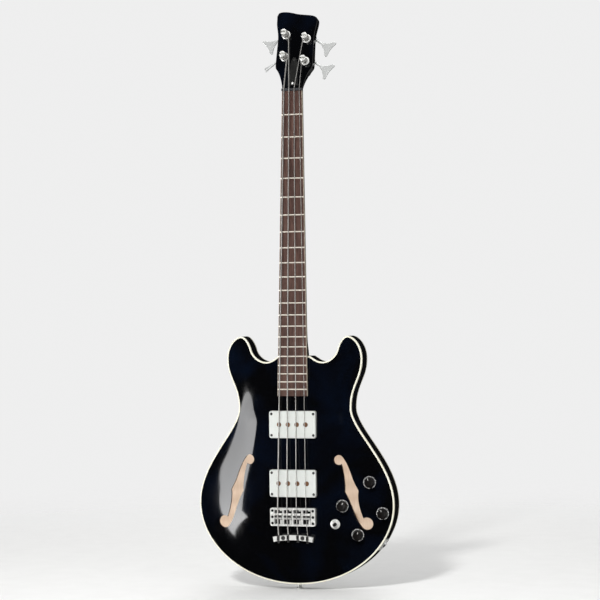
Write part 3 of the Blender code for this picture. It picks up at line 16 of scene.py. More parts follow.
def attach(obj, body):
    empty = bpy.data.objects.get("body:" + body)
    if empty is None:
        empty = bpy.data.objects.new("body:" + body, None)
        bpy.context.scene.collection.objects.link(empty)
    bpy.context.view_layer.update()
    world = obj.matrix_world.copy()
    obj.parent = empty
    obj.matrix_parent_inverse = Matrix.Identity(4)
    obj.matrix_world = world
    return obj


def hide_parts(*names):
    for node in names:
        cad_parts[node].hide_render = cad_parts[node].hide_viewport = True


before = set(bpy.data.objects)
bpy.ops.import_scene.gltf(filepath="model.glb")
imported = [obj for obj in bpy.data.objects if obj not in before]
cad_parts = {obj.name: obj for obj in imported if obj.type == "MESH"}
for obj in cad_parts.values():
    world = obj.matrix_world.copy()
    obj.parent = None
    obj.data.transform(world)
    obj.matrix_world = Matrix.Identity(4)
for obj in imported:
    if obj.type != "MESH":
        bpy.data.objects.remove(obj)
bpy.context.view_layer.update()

GAP = 0.0003
ROUT_CLEARANCE = 0.0005
WRAP_GAP = 0.0006
WRAPS = 2.0
CLEARANCE = 0.0001

SCALE_LENGTH = 0.8636
STRING_RADII = (0.0013, 0.0011, 0.00085, 0.0006)
NUT_SPACING = 0.011
BRIDGE_SPACING = 0.020
NUT_LIFT = 0.0027
SADDLE_LIFT = 0.0049
BALL_RADIUS = 0.0029
BALL_LENGTH = 0.0045

RIM_DEPTH = 0.042
RIM_WALL = 0.008
PLATE = 0.005
TOP_ARCH = 0.014
BACK_ARCH = 0.010
ARCH_REACH = 0.115
SHEEN_HALF = 0.080
SHEEN_LOW = 0.160
SHEEN_HIGH = 0.340
SHEEN_POWER = 1.2
BINDING_WIDTH = 0.003

NECK_ANGLE = math.radians(2.264)
FRETS = 21
BOARD_LENGTH = 0.6205
BOARD_SUNK = 0.055
BOARD_THICKNESS = 0.006
BOARD_NUT_WIDTH = 0.043
BOARD_END_WIDTH = 0.0635
CAMBER_RADIUS = 0.305
FRET_RADIUS = 0.0013
FRET_HEIGHT = 0.0009
FRET_INSET = 0.0004
NUT_THICKNESS = 0.005
NUT_RISE = 0.0006
TENON_WIDTH = 0.046
TENON_DEPTH = 0.036
TENON_END = 0.6185
NECK_SECTIONS = (
    (-NUT_THICKNESS, 0.0145, 2.0),
    (0.060, 0.0145, 2.0),
    (0.300, 0.0170, 2.1),
    (0.470, 0.0190, 2.1),
    (0.498, 0.0215, 2.2),
    (0.513, 0.0265, 2.3),
    (0.526, 0.0345, 2.5),
    (0.545, 0.0415, 2.7),
)
HEAD_ROOT = 0.032
ROOT_STEP = 0.0001
ROOT_SECTIONS = ((0.0, 2.0), (0.25, 2.4), (0.5, 3.2), (0.75, 5.0), (1.0, 9.0))
NECK_JOINT_UP = 0.4635
NEAR_NECK = 0.4

COVER_WIDTH = 0.023
COVER_TOP_WIDTH = 0.015
COVER_LENGTH = 0.061
COVER_START = 0.0055
COVER_THICKNESS = 0.0018

HEAD_ANGLE = math.radians(13)
HEAD_THICKNESS = 0.014
FACEPLATE = 0.002
HEAD_NECK = 0.0218
HEAD_EAR = 0.0397
HEAD_EAR_UP = 0.051
HEAD_WAIST = 0.0385
HEAD_WAIST_UP = 0.108
HEAD_TOP = 0.0435
HEAD_CORNER_UP = 0.1445
HEAD_HIGH_UP = 0.168
HEAD_LOW_UP = 0.1555

POSTS = ((-0.0213, 0.0685), (-0.0213, 0.1170), (0.0230, 0.1070), (0.0230, 0.0580))
POST_RADIUS = 0.005
POST_CAP_RADIUS = 0.0062
POST_HEIGHT = 0.0225
POST_SLOT = 0.0032
POST_SLOT_DEPTH = 0.0058
BUSHING_RADIUS = 0.0092
BUSHING_THICKNESS = 0.002
TUNER_SLANT = math.radians(35)
TUNER_PLATE = 0.0015
WORM_CENTRES = 0.012
GEAR_TEETH = 20
GEAR_TIP = 0.00975
GEAR_ROOT = 0.0079
GEAR_WIDTH = 0.004
TOOTH_FOOT = 0.00145
TOOTH_TIP = 0.00075
WORM_PITCH_RADIUS = 0.0031
WORM_TIP = 0.0038
WORM_CORE = 0.00195
WORM_TURNS = 2.25
WORM_SIDES = 32
SHAFT_RADIUS = 0.0022
STUB_RADIUS = 0.00165
EAR = 0.0016
EAR_AT = 0.0057
EAR_MARGIN = 0.0015
KEY_STEM = 0.0262
KEY_LENGTH = 0.0205
KEY_SPREAD = 0.0152
KEY_LOBE = 0.0032
KEY_DISH = 0.0021
KEY_THICKNESS = 0.0036
KEY_TURNS = (math.radians(55), 0.0, 0.0, 0.0)

SADDLE_UP = 0.1402
STRING_OUT = 0.051
BRIDGE_WIDTH = 0.095
BRIDGE_LENGTH = 0.0366
BRIDGE_HEIGHT = 0.0089
BRIDGE_CORNER = 0.004
BRIDGE_SHIFT = -0.0015
BRIDGE_FLOOR = 0.0015
BAY_WIDTH = 0.0168
BAY_LENGTH = 0.0290
BRIDGE_HOLE = 0.0029
BRIDGE_HOLE_X = 0.0428
BRIDGE_HOLE_SPACING = 0.0127
SADDLE_WIDTH = 0.0152
SADDLE_LENGTH = 0.012
SADDLE_SHOULDER = 0.0035
SADDLE_SCREW = 0.0014
SADDLE_SCREW_OUT = 0.0400
RAILS = ((0.0048, 0.0131, 0.0024), (0.0052, -0.0098, 0.0088))
RAIL_WIDTH = 0.0040
RAIL_DROP = 0.0016

TAIL_UP = 0.0972
TAIL_LENGTH = 0.084
TAIL_WIDTH = 0.0100
TAIL_BOW = 0.0040
TAIL_SPACING = 0.0204
TAIL_OUT = 0.0360
TAIL_FLOOR = 0.0022
TAIL_BLOCK = 0.0065
TAIL_SLOT = 0.0058
TAIL_STRING_OUT = 0.0415
TAIL_POST_X = 0.0204
TAIL_POST_RADIUS = 0.0030
TAIL_POST_HEAD = 0.0042
TAIL_POST_HEAD_DEPTH = 0.0022
TAIL_POST_COLLAR = 0.0065

PICKUP_UP = (0.3252, 0.2062)
PICKUP_OUT = (0.0385, 0.0410)
PICKUP_WIDTH = 0.098
PICKUP_LENGTH = 0.055
PICKUP_CORNER = 0.0045
PICKUP_WALL = 0.0011
ROUT_FLOOR = 0.0235
POLE_RADIUS = 0.0047
POLE_SPACING = (0.0187, 0.0198)
COIL_WIDTH = 0.078
COIL_LENGTH = 0.030
PICKUP_SCREWS = (0.0442, 0.0216)
PICKUP_SINK = 0.0029
CORNERS = ((-1, -1), (-1, 1), (1, -1), (1, 1))

KNOBS = ((0.157, 0.2092), (0.103, 0.1622), (0.183, 0.1472), (0.132, 0.1042))
KNOB_RADIUS = 0.0132
KNOB_HEIGHT = 0.0165
KNOB_LIFT = 0.0018
POT_BUSHING = 0.0047
POT_SHAFT = 0.003
POT_SHAFT_TOP = 0.012
SWITCH = (0.087, 0.1252)
SWITCH_BUSHING = 0.0058
SWITCH_RING = 0.0100
SWITCH_BORE = 0.0037
SWITCH_PIVOT = -0.002
LEVER_BALL = 0.0033
LEVER_TOP = 0.017
KNOB_STEP = 30
KNOB_SPINS = (0.3, -0.5, 0.15, -0.2)

F_UPPER = (0.0942, 0.2540)
F_LOWER = (0.1507, 0.1262)
F_UPPER_RADIUS = 0.0098
F_LOWER_RADIUS = 0.0124
F_OUTER_BEND = (0.1218, 0.2193)
F_OUTER_TIP = (0.1350, 0.1923)
F_INNER_BEND = (0.1243, 0.1520)
F_INNER_TIP = (0.1072, 0.1900)

JACK_UP = 0.0828
JACK_PLATE = 0.028
JACK_PLATE_THICKNESS = 0.0016
JACK_BARREL = 0.0046
JACK_BORE = 0.00325
JACK_NUT = 0.0064
JACK_NUT_HEIGHT = 0.0024
JACK_LENGTH = 0.020
JACK_SCREW_IN = 0.0042
BUTTON_LENGTH = 0.0108
BUTTON_FLANGE = 0.00675
BUTTON_FOOT = 0.0055
BUTTON_NECK = 0.0036
UPPER_BUTTON_UP = 0.4405

FINE = 8
SHEET_SPACING = 0.0045
CHUNK = 4000

CARD_AIM = (-0.12, -0.04, 0.25)
CARD_WAY = (math.radians(-42), math.radians(-8))
CARD_AWAY = 2.6
CARD_OUTLINE = (
    (-0.862, -1.054), (-1.384, 1.105), (-0.350, 1.404), (0.563, 0.334), (0.346, 0.232), (0.274, -0.218),
    (0.510, -0.528), (-0.537, -0.861), (-1.233, -0.946), (-1.117, -1.369),
)
CARD_GLOW = (12.0, 6.0)
CARD_FALL = (-0.65, 0.75)
LAMPS = (
    ("key", (-0.1, -3.2, 2.2), 0.45, (0.40, 0.40), 125.0, False),
    ("fill_right", (2.6, -2.4, 1.2), 0.5, (1.6, 1.6), 14.0, False),
    ("high", (0.2, 0.2, 3.4), 0.5, (2.4, 2.0), 30.0, True),
    ("behind", (-0.8, 3.4, 2.0), 0.5, (2.4, 2.0), 60.0, False),
)
FLOOR_RADIUS = 3.2
CAMERA_AZIMUTH = math.radians(17.0)
CAMERA_AWAY = 4.5
CAMERA_UP = 0.588
CAMERA_ASIDE = 0.0078
CAMERA_ROLL = 0.0128
CAMERA_LENS = 132.42


def shift(x=0.0, y=0.0, z=0.0):
    return Matrix.Translation((x, y, z))


def turn(angle, axis):
    return Matrix.Rotation(angle, 4, axis)


def between(low, high, share):
    return low + (high - low) * share


# Outlines

def bezier(start, start_handle, end_handle, end, count):
    points = []
    for index in range(count):
        t = index / count
        s = 1.0 - t
        points.append(tuple(
            s ** 3 * a + 3 * s * s * t * b + 3 * s * t * t * c + t ** 3 * d
            for a, b, c, d in zip(start, start_handle, end_handle, end)
        ))
    return points


def smooth_outline(knots, fine=1):
    points = []
    for (x, y, way, _, after, count), (x2, y2, way2, before, _, _) in zip(knots, knots[1:]):
        leave = (x + after * math.cos(way), y + after * math.sin(way))
        arrive = (x2 - before * math.cos(way2), y2 - before * math.sin(way2))
        points += bezier((x, y), leave, arrive, (x2, y2), count * fine)
    points.append(knots[-1][:2])
    return points


def half_outline(fine=1):
    """The treble half of the body's edge, from the middle of its lower edge up to the neck joint."""
    east, north, west = 0.0, math.pi / 2, math.pi
    return smooth_outline((
        (0.0, 0.0, east, 0.0, 0.118, 7),
        (0.2065, 0.164, north, 0.085, 0.083, 7),
        (0.1193, 0.3575, north, 0.044, 0.046, 5),
        (0.1433, 0.4575, north, 0.040, 0.028, 4),
        (0.113, 0.5037, west, 0.013, 0.009, 3),
        (0.0915, 0.4765, math.radians(255), 0.014, 0.013, 3),
        (0.060, 0.4517, west, 0.015, 0.012, 4),
        (0.033, 0.4635, math.radians(150), 0.010, 0.0, 1),
    ), fine)


def moved_in(points, inset):
    points = np.array(points)
    before = points - np.roll(points, 1, axis=0)
    after = np.roll(points, -1, axis=0) - points
    before /= np.linalg.norm(before, axis=1)[:, None]
    after /= np.linalg.norm(after, axis=1)[:, None]
    inward = np.stack([-(before + after)[:, 1], (before + after)[:, 0]], axis=1)
    inward /= np.linalg.norm(inward, axis=1)[:, None]
    mitre = (inward * np.stack([-after[:, 1], after[:, 0]], axis=1)).sum(axis=1)
    return points + inward * (inset / mitre)[:, None]


def body_outline(inset=0.0, fine=1):
    half = half_outline(fine)
    other = [(-x, y) for x, y in reversed(half[1:])]
    return moved_in(half + [(0.0, NECK_JOINT_UP)] + other, inset)


EDGE = body_outline()


def arc(centre, radius, start, end, count):
    angles = [math.radians(between(start, end, step / count)) for step in range(count)]
    return [(centre[0] + radius * math.cos(angle), centre[1] + radius * math.sin(angle)) for angle in angles]


def f_outline(fine=1):
    upper = arc(F_UPPER, F_UPPER_RADIUS, -55, -320, 9 * fine)
    lower = arc(F_LOWER, F_LOWER_RADIUS, 121, -140, 9 * fine)
    leave = arc(F_UPPER, F_UPPER_RADIUS, -320, 0, 1)[0]
    rejoin = arc(F_LOWER, F_LOWER_RADIUS, -140, 0, 1)[0]
    outer = smooth_outline((
        (*leave, math.radians(-50), 0.0, 0.014, 3),
        (*F_OUTER_BEND, math.radians(-72), 0.012, 0.010, 2),
        (*F_OUTER_TIP, math.radians(-62), 0.007, 0.0, 1),
    ), fine)
    outer += smooth_outline((
        (*F_OUTER_TIP, math.radians(-104), 0.0, 0.012, 4),
        (*lower[0], math.radians(-66), 0.020, 0.0, 1),
    ), fine)[1:-1]
    inner = smooth_outline((
        (*rejoin, math.radians(130), 0.0, 0.010, 3),
        (*F_INNER_BEND, math.radians(109), 0.014, 0.013, 2),
        (*F_INNER_TIP, math.radians(123), 0.009, 0.0, 1),
    ), fine)
    inner += smooth_outline((
        (*F_INNER_TIP, math.radians(82), 0.0, 0.013, 4),
        (*upper[0], math.radians(108), 0.015, 0.0, 1),
    ), fine)[1:-1]
    return upper + outer + lower + inner


def circle(radius, sides=32, centre=(0.0, 0.0)):
    angles = [2 * math.pi * side / sides for side in range(sides)]
    return [(centre[0] + radius * math.cos(a), centre[1] + radius * math.sin(a)) for a in angles]


def rounded_rectangle(width, length, corner, steps=8, centre=(0.0, 0.0)):
    points = []
    for quarter in range(4):
        sign_x = (1, -1, -1, 1)[quarter]
        sign_y = (1, 1, -1, -1)[quarter]
        for step in range(steps + 1):
            angle = math.pi / 2 * (quarter + step / steps)
            points.append((centre[0] + sign_x * (width / 2 - corner) + corner * math.cos(angle),
                           centre[1] + sign_y * (length / 2 - corner) + corner * math.sin(angle)))
    return points


# Arching

def edge_distance(places, edge=EDGE):
    """Distance of many places from the edge, 0 outside it."""
    places = np.asarray(places, float).reshape(-1, 2)
    start, end = edge, np.roll(edge, -1, axis=0)
    along = end - start
    length = (along ** 2).sum(axis=1)
    nearest = np.empty(len(places))
    inside = np.empty(len(places), bool)
    for first in range(0, len(places), CHUNK):
        some = places[first:first + CHUNK]
        share = ((some[:, None] - start) * along).sum(axis=2) / length
        share = np.clip(share, 0.0, 1.0)
        gap = start + along * share[:, :, None] - some[:, None]
        nearest[first:first + CHUNK] = np.sqrt((gap ** 2).sum(axis=2)).min(axis=1)
        crosses = (start[:, 1] > some[:, None, 1]) != (end[:, 1] > some[:, None, 1])
        level = np.where(along[:, 1] == 0.0, 1.0, along[:, 1])
        meets = start[:, 0] + (some[:, None, 1] - start[:, 1]) / level * along[:, 0]
        inside[first:first + CHUNK] = (crosses & (meets > some[:, None, 0])).sum(axis=1) % 2 == 1
    return np.where(inside, nearest, 0.0)


def swell(x, y):
    share = min(edge_distance([(x, y)])[0] / ARCH_REACH, 1.0)
    return (1.0 - math.cos(math.pi * share)) / 2


def top_out(x, y):
    return RIM_DEPTH / 2 + TOP_ARCH * swell(x, y)


def back_out(x, y):
    return -RIM_DEPTH / 2 - BACK_ARCH * swell(x, y)


def on_surface(x, y, surface):
    step = 0.004
    slope_x = (surface(x + step, y) - surface(x - step, y)) / (2 * step)
    slope_y = (surface(x, y + step) - surface(x, y - step)) / (2 * step)
    normal = Vector((-slope_x, -slope_y, 1.0))
    if surface is back_out:
        normal.negate()
    tilt = Vector((0.0, 0.0, 1.0)).rotation_difference(normal).to_matrix().to_4x4()
    return Matrix.Translation((x, y, surface(x, y))) @ tilt


def arch_share(grid, edge):
    return np.minimum(edge_distance(grid, edge) / ARCH_REACH, 1.0)


def sheen_share(grid, edge):
    """The sheen of the polished top: one flat patch in its middle, and slopes that fill the rest."""
    beside = np.maximum(np.abs(grid[:, 0]) - SHEEN_HALF, 0.0)
    beyond = np.maximum(np.maximum(SHEEN_LOW - grid[:, 1], grid[:, 1] - SHEEN_HIGH), 0.0)
    rest = np.hypot(beside, beyond)
    near = edge_distance(grid, edge)
    share = (near / np.maximum(near + rest, 0.000001)) ** SHEEN_POWER
    return np.where(rest == 0.0, 1.0, share)


class Arch:
    """A share of the full arch on a 2 mm grid, with the creases in its horns rounded off."""

    CELL = 0.002
    LOW = np.array((-0.250, -0.040))
    COUNT = (251, 301)
    SOFTNESS = 0.007
    STEEPEST = 0.45

    def __init__(self, share_of):
        xs = self.LOW[0] + self.CELL * np.arange(self.COUNT[0])
        ys = self.LOW[1] + self.CELL * np.arange(self.COUNT[1])
        grid = np.stack(np.meshgrid(xs, ys, indexing="ij"), axis=2).reshape(-1, 2)
        share = share_of(grid, body_outline(fine=4))
        values = ((1.0 - np.cos(math.pi * share)) / 2).reshape(self.COUNT)
        reach = int(3 * self.SOFTNESS / self.CELL)
        kernel = np.exp(-0.5 * (np.arange(-reach, reach + 1) * self.CELL / self.SOFTNESS) ** 2)
        kernel /= kernel.sum()
        values = np.apply_along_axis(lambda row: np.convolve(row, kernel, mode="same"), 0, values)
        self.values = np.apply_along_axis(lambda row: np.convolve(row, kernel, mode="same"), 1, values)
        self.slopes = np.gradient(self.values, self.CELL)

    def sample(self, grid, places):
        spot = (np.asarray(places, float) - self.LOW) / self.CELL
        cell = np.clip(spot.astype(int), 0, np.array(self.COUNT) - 2)
        share = spot - cell
        i, j = cell[:, 0], cell[:, 1]
        u, v = share[:, 0], share[:, 1]
        return (grid[i, j] * (1 - u) * (1 - v) + grid[i + 1, j] * u * (1 - v)
                + grid[i, j + 1] * (1 - u) * v + grid[i + 1, j + 1] * u * v)

    def height(self, places, rise):
        return rise * self.sample(self.values, places)

    def normals(self, places, rise):
        slope_x = rise * self.sample(self.slopes[0], places)
        slope_y = rise * self.sample(self.slopes[1], places)
        steep = np.hypot(slope_x, slope_y)
        held = np.minimum(1.0, self.STEEPEST / np.maximum(steep, 0.000001))
        normal = np.stack([-slope_x * held, -slope_y * held, np.ones(len(slope_x))], axis=1)
        return normal / np.linalg.norm(normal, axis=1)[:, None]


ARCH = Arch(arch_share)
SHEEN = Arch(sheen_share)


def camber(x):
    return x * x / (2 * CAMBER_RADIUS)


def board_half_width(down):
    return between(BOARD_NUT_WIDTH, BOARD_END_WIDTH, down / BOARD_LENGTH) / 2


def fret_down(number):
    return SCALE_LENGTH * (1.0 - 2.0 ** (-number / 12))


def string_x(index, spacing):
    return (index - 1.5) * spacing


def worm_pitch():
    return 2 * math.pi * (WORM_CENTRES - WORM_PITCH_RADIUS) / GEAR_TEETH


def worm_level():
    return -(HEAD_THICKNESS + GAP + TUNER_PLATE + GAP + WORM_TIP)


# Frames

BODY = shift(z=BUTTON_LENGTH) @ turn(math.pi / 2, "X")
NECK_IN_BODY = (shift(0.0, SADDLE_UP, STRING_OUT) @ turn(-NECK_ANGLE, "X")
                @ shift(0.0, SCALE_LENGTH, -SADDLE_LIFT))
NECK = BODY @ NECK_IN_BODY
HEAD_IN_NECK = shift(0.0, NUT_THICKNESS, -BOARD_THICKNESS - GAP) @ turn(-HEAD_ANGLE, "X")
HEAD = NECK @ HEAD_IN_NECK
HANDS = tuple(1 if x > 0.0 else -1 for x, _ in POSTS)
TUNERS = tuple(
    HEAD @ shift(x, y) @ turn(-TUNER_SLANT if hand > 0 else math.pi + TUNER_SLANT, "Z")
    for (x, y), hand in zip(POSTS, HANDS)
)
SHAFTS = tuple(
    tuner @ shift(0.0, hand * WORM_CENTRES, worm_level()) @ turn(math.pi / 2, "Y")
    for tuner, hand in zip(TUNERS, HANDS)
)
CONTROLS = tuple(BODY @ on_surface(x, y, top_out) for x, y in KNOBS)
TOGGLE = BODY @ on_surface(*SWITCH, top_out)
END_BUTTON = BODY @ turn(math.pi / 2, "X")
UPPER_BUTTON = BODY @ on_surface(0.0, UPPER_BUTTON_UP, back_out) @ shift(z=GAP)


def jack_matrix():
    half = EDGE[:len(EDGE) // 2]
    index = next(i for i in range(len(half)) if half[i + 1][1] > JACK_UP)
    start, end = half[index], half[index + 1]
    share = (JACK_UP - start[1]) / (end[1] - start[1])
    x, y = start + (end - start) * share
    along = (end - start) / np.linalg.norm(end - start)
    z_axis = Vector((along[1], -along[0], 0.0))
    x_axis = Vector((along[0], along[1], 0.0))
    y_axis = z_axis.cross(x_axis)
    basis = Matrix((x_axis, y_axis, z_axis)).transposed().to_4x4()
    return Matrix.Translation((x, y, 0.0)) @ basis


JACK = BODY @ jack_matrix()


# Meshes

def placed(name, data):
    obj = bpy.data.objects.new(name, data)
    bpy.context.scene.collection.objects.link(obj)
    return obj


def scratch(data):
    return placed("scratch", data)


def evaluated(obj):
    bpy.context.view_layer.update()
    depsgraph = bpy.context.evaluated_depsgraph_get()
    mesh = bpy.data.meshes.new_from_object(obj.evaluated_get(depsgraph))
    bpy.data.objects.remove(obj)
    return mesh


def welded(mesh, distance=0.000002):
    bm = bmesh.new()
    bm.from_mesh(mesh)
    bmesh.ops.remove_doubles(bm, verts=bm.verts, dist=distance)
    bmesh.ops.dissolve_degenerate(bm, dist=distance, edges=bm.edges)
    bmesh.ops.recalc_face_normals(bm, faces=bm.faces)
    bm.to_mesh(mesh)
    bm.free()
    return mesh


def mesh_from(bm):
    bmesh.ops.recalc_face_normals(bm, faces=bm.faces)
    mesh = bpy.data.meshes.new("mesh")
    bm.to_mesh(mesh)
    bm.free()
    return mesh


def smooth(mesh, sharp=35):
    mesh.shade_smooth()
    mesh.set_sharp_from_angle(angle=math.radians(sharp))
    return mesh


def box(x, y, z, centre=(0.0, 0.0, 0.0)):
    bm = bmesh.new()
    bmesh.ops.create_cube(bm, size=1.0, matrix=Matrix.Translation(centre) @ Matrix.Diagonal((x, y, z, 1.0)))
    return mesh_from(bm)


def rod(radius, low, high, sides=32):
    bm = bmesh.new()
    bmesh.ops.create_cone(bm, cap_ends=True, segments=sides, radius1=radius, radius2=radius,
                          depth=high - low, matrix=shift(z=(low + high) / 2))
    return smooth(mesh_from(bm))


def turned(profile, steps=40):
    """A profile of (radius, height), run down its outer side, turned about z; closed if it is a ring."""
    bm = bmesh.new()
    verts = [bm.verts.new((radius, 0.0, height)) for radius, height in profile]
    for first, second in zip(verts, verts[1:]):
        bm.edges.new((first, second))
    if profile[0][0] > 0.0:
        bm.edges.new((verts[-1], verts[0]))
    mesh = bpy.data.meshes.new("profile")
    bm.to_mesh(mesh)
    bm.free()
    obj = scratch(mesh)
    screw = obj.modifiers.new("turn", "SCREW")
    screw.axis = "Z"
    screw.steps = steps
    screw.render_steps = steps
    screw.use_merge_vertices = True
    screw.merge_threshold = 0.00001
    return smooth(welded(evaluated(obj)))


def flat(outlines, low, high):
    """Closed outlines of (x, y), the second and later ones holes, filled from z low to z high."""
    curve = bpy.data.curves.new("outline", "CURVE")
    curve.dimensions = "2D"
    curve.fill_mode = "BOTH"
    curve.extrude = (high - low) / 2
    for outline in outlines:
        spline = curve.splines.new("POLY")
        spline.points.add(len(outline) - 1)
        spline.use_cyclic_u = True
        for point, (x, y) in zip(spline.points, outline):
            point.co = (x, y, 0.0, 1.0)
    mesh = welded(evaluated(scratch(curve)))
    bpy.data.curves.remove(curve)
    mesh.transform(shift(z=(low + high) / 2))
    return mesh


def wire(points, radius):
    """A round wire along points, with closed ends."""
    curve = bpy.data.curves.new("wire", "CURVE")
    curve.dimensions = "3D"
    curve.bevel_depth = radius
    curve.bevel_resolution = 3
    curve.use_fill_caps = True
    spline = curve.splines.new("POLY")
    spline.points.add(len(points) - 1)
    for point, place in zip(spline.points, points):
        point.co = (*place, 1.0)
    mesh = welded(evaluated(scratch(curve)))
    bpy.data.curves.remove(curve)
    return smooth(mesh, 50)


def loft(rings, closed=False):
    """A skin through rings of equal count; its ends are filled unless the rings close on themselves."""
    bm = bmesh.new()
    loops = [[bm.verts.new(point) for point in ring] for ring in rings]
    count = len(rings[0])
    pairs = list(zip(loops, loops[1:]))
    if closed:
        pairs.append((loops[-1], loops[0]))
    for lower, upper in pairs:
        for index in range(count):
            after = (index + 1) % count
            bm.faces.new((lower[index], lower[after], upper[after], upper[index]))
    if not closed:
        bm.faces.new(loops[0])
        bm.faces.new(loops[-1])
    return smooth(mesh_from(bm), 40)


def slab(outline, low, high, round_low=0.0, round_high=0.0, steps=3):
    """An outline filled from z low to z high, with rounded lower and upper edges."""
    levels = []
    for step in range(steps + 1):
        angle = math.pi / 2 * step / steps
        if round_low > 0.0 or step == 0:
            levels.append((round_low * (1 - math.sin(angle)), low + round_low * (1 - math.cos(angle))))
    for step in range(steps + 1):
        angle = math.pi / 2 * (1 - step / steps)
        if round_high > 0.0 or step == 0:
            levels.append((round_high * (1 - math.sin(angle)), high - round_high * (1 - math.cos(angle))))
    rings = []
    for inset, level in levels:
        rings.append([(x, y, level) for x, y in moved_in(outline, inset)])
    return weighted(loft(rings))


def weighted(mesh, sharp=60):
    """Shading normals that keep large flat faces flat."""
    mesh.shade_smooth()
    mesh.set_sharp_from_angle(angle=math.radians(sharp))
    obj = scratch(mesh)
    modifier = obj.modifiers.new("weigh", "WEIGHTED_NORMAL")
    modifier.mode = "FACE_AREA"
    modifier.weight = 80
    modifier.keep_sharp = True
    return evaluated(obj)


def carved(mesh, cuts=(), joins=(), bevel=0.0, segments=2):
    """A mesh with cutters taken out, others joined on, and its edges rounded."""
    obj = scratch(mesh)
    others = []
    for operation, meshes in (("UNION", joins), ("DIFFERENCE", cuts)):
        for other in meshes:
            tool = scratch(other)
            tool.hide_render = True
            others.append(tool)
            modifier = obj.modifiers.new(operation.lower(), "BOOLEAN")
            modifier.operation = operation
            modifier.solver = "EXACT"
            modifier.object = tool
    mesh = welded(evaluated(obj))
    for other in others:
        bpy.data.objects.remove(other)
    if bevel <= 0.0:
        return smooth(mesh)
    obj = scratch(mesh)
    modifier = obj.modifiers.new("round", "BEVEL")
    modifier.width = bevel
    modifier.segments = segments
    modifier.limit_method = "ANGLE"
    modifier.angle_limit = math.radians(32)
    modifier.use_clamp_overlap = True
    modifier.harden_normals = False
    return weighted(evaluated(obj))


def numbers(items, key):
    """The values of one vector property, a row for each item."""
    values = np.empty(len(items) * 3)
    items.foreach_get(key, values)
    return values.reshape(-1, 3)


def gathered(parts):
    """One mesh out of (mesh, matrix, material index), with the shading normals of each kept."""
    places, faces, indices, normals, flags = [], [], [], [], []
    offset = 0
    for mesh, matrix, index in parts:
        world = np.array(matrix)
        places.append(numbers(mesh.vertices, "co") @ world[:3, :3].T + world[:3, 3])
        corner = numbers(mesh.corner_normals, "vector") @ np.linalg.inv(world[:3, :3])
        for polygon in mesh.polygons:
            loop = list(polygon.loop_indices)
            faces.append([mesh.loops[i].vertex_index + offset for i in loop])
            normals.append(corner[loop])
            indices.append(index if index is not None else polygon.material_index)
        offset += len(mesh.vertices)
    joined = bpy.data.meshes.new("joined")
    joined.from_pydata(np.concatenate(places).tolist(), [], faces)
    joined.polygons.foreach_set("material_index", indices)
    joined.shade_smooth()
    stacked = np.concatenate(normals)
    stacked /= np.maximum(np.linalg.norm(stacked, axis=1), 1e-9)[:, None]
    joined.normals_split_custom_set(stacked.tolist())
    return joined


def piece(name, parts, materials, replaces=(), body="instrument"):
    """A piece of (mesh, matrix) or (mesh, matrix, material index) that rides on a body."""
    mesh = gathered([(part + (0,))[:3] for part in parts])
    for material in materials:
        mesh.materials.append(material)
    obj = placed(name, mesh)
    mesh.name = name
    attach(obj, body)
    if replaces:
        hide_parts(*replaces)
    return obj


def fine(node, parts, materials, slot, body="instrument"):
    """The finer form of one solid, in that solid's place."""
    piece(f"{node}_fine", parts, materials, (node,), body)


# Materials

def add_node(tree, kind, inputs=(), **settings):
    """A shader node, with its settings made and its inputs linked or set."""
    node = tree.nodes.new(kind)
    for key, value in settings.items():
        setattr(node, key, value)
    for key, value in dict(inputs).items():
        if isinstance(value, bpy.types.NodeSocket):
            tree.links.new(value, node.inputs[key])
        else:
            node.inputs[key].default_value = value
    return node


class Look:
    """A material in the making: nodes are added and joined by short calls."""

    def __init__(self, name, **sockets):
        self.material = bpy.data.materials.new(name)
        self.material.use_nodes = True
        self.tree = self.material.node_tree
        self.shader = self.tree.nodes["Principled BSDF"]
        self.place = self.add("ShaderNodeTexCoord").outputs["Object"]
        for socket, value in sockets.items():
            self.shader.inputs[socket.replace("_", " ")].default_value = value

    def add(self, kind, inputs=(), **settings):
        return add_node(self.tree, kind, inputs, **settings)

    def set(self, socket, source):
        self.tree.links.new(source, self.shader.inputs[socket])

    def stretched(self, x, y, z):
        return self.add("ShaderNodeMapping", {"Vector": self.place, "Scale": (x, y, z)}).outputs["Vector"]

    def noise(self, scale, detail=4.0, roughness=0.6, distortion=0.0, vector=None):
        return self.add("ShaderNodeTexNoise", {
            "Vector": vector or self.place, "Scale": scale, "Detail": detail,
            "Roughness": roughness, "Distortion": distortion,
        }).outputs["Fac"]

    def waves(self, scale, distortion, direction="Z"):
        return self.add("ShaderNodeTexWave", {
            "Vector": self.place, "Scale": scale, "Distortion": distortion, "Detail": 2.0,
        }, bands_direction=direction).outputs["Fac"]

    def ramp(self, source, *stops):
        node = self.add("ShaderNodeValToRGB", {"Fac": source})
        band = node.color_ramp
        while len(band.elements) < len(stops):
            band.elements.new(0.5)
        for element, (place, colour) in zip(band.elements, stops):
            element.position = place
            element.color = (*colour, 1.0)
        return node.outputs["Color"]

    def span(self, source, low, high, start=0.3, end=0.7):
        return self.add("ShaderNodeMapRange", {
            "Value": source, "From Min": start, "From Max": end, "To Min": low, "To Max": high,
        }).outputs["Result"]

    def mix(self, factor, first, second, blend="MIX"):
        inputs = {0: factor, 6: first, 7: second}
        return self.add("ShaderNodeMix", inputs, data_type="RGBA", blend_type=blend).outputs[2]

    def bumps(self, *layers):
        normal = None
        for height, strength, distance in layers:
            inputs = {"Height": height, "Strength": strength, "Distance": distance}
            if normal:
                inputs["Normal"] = normal
            normal = self.add("ShaderNodeBump", inputs).outputs["Normal"]
        self.set("Normal", normal)


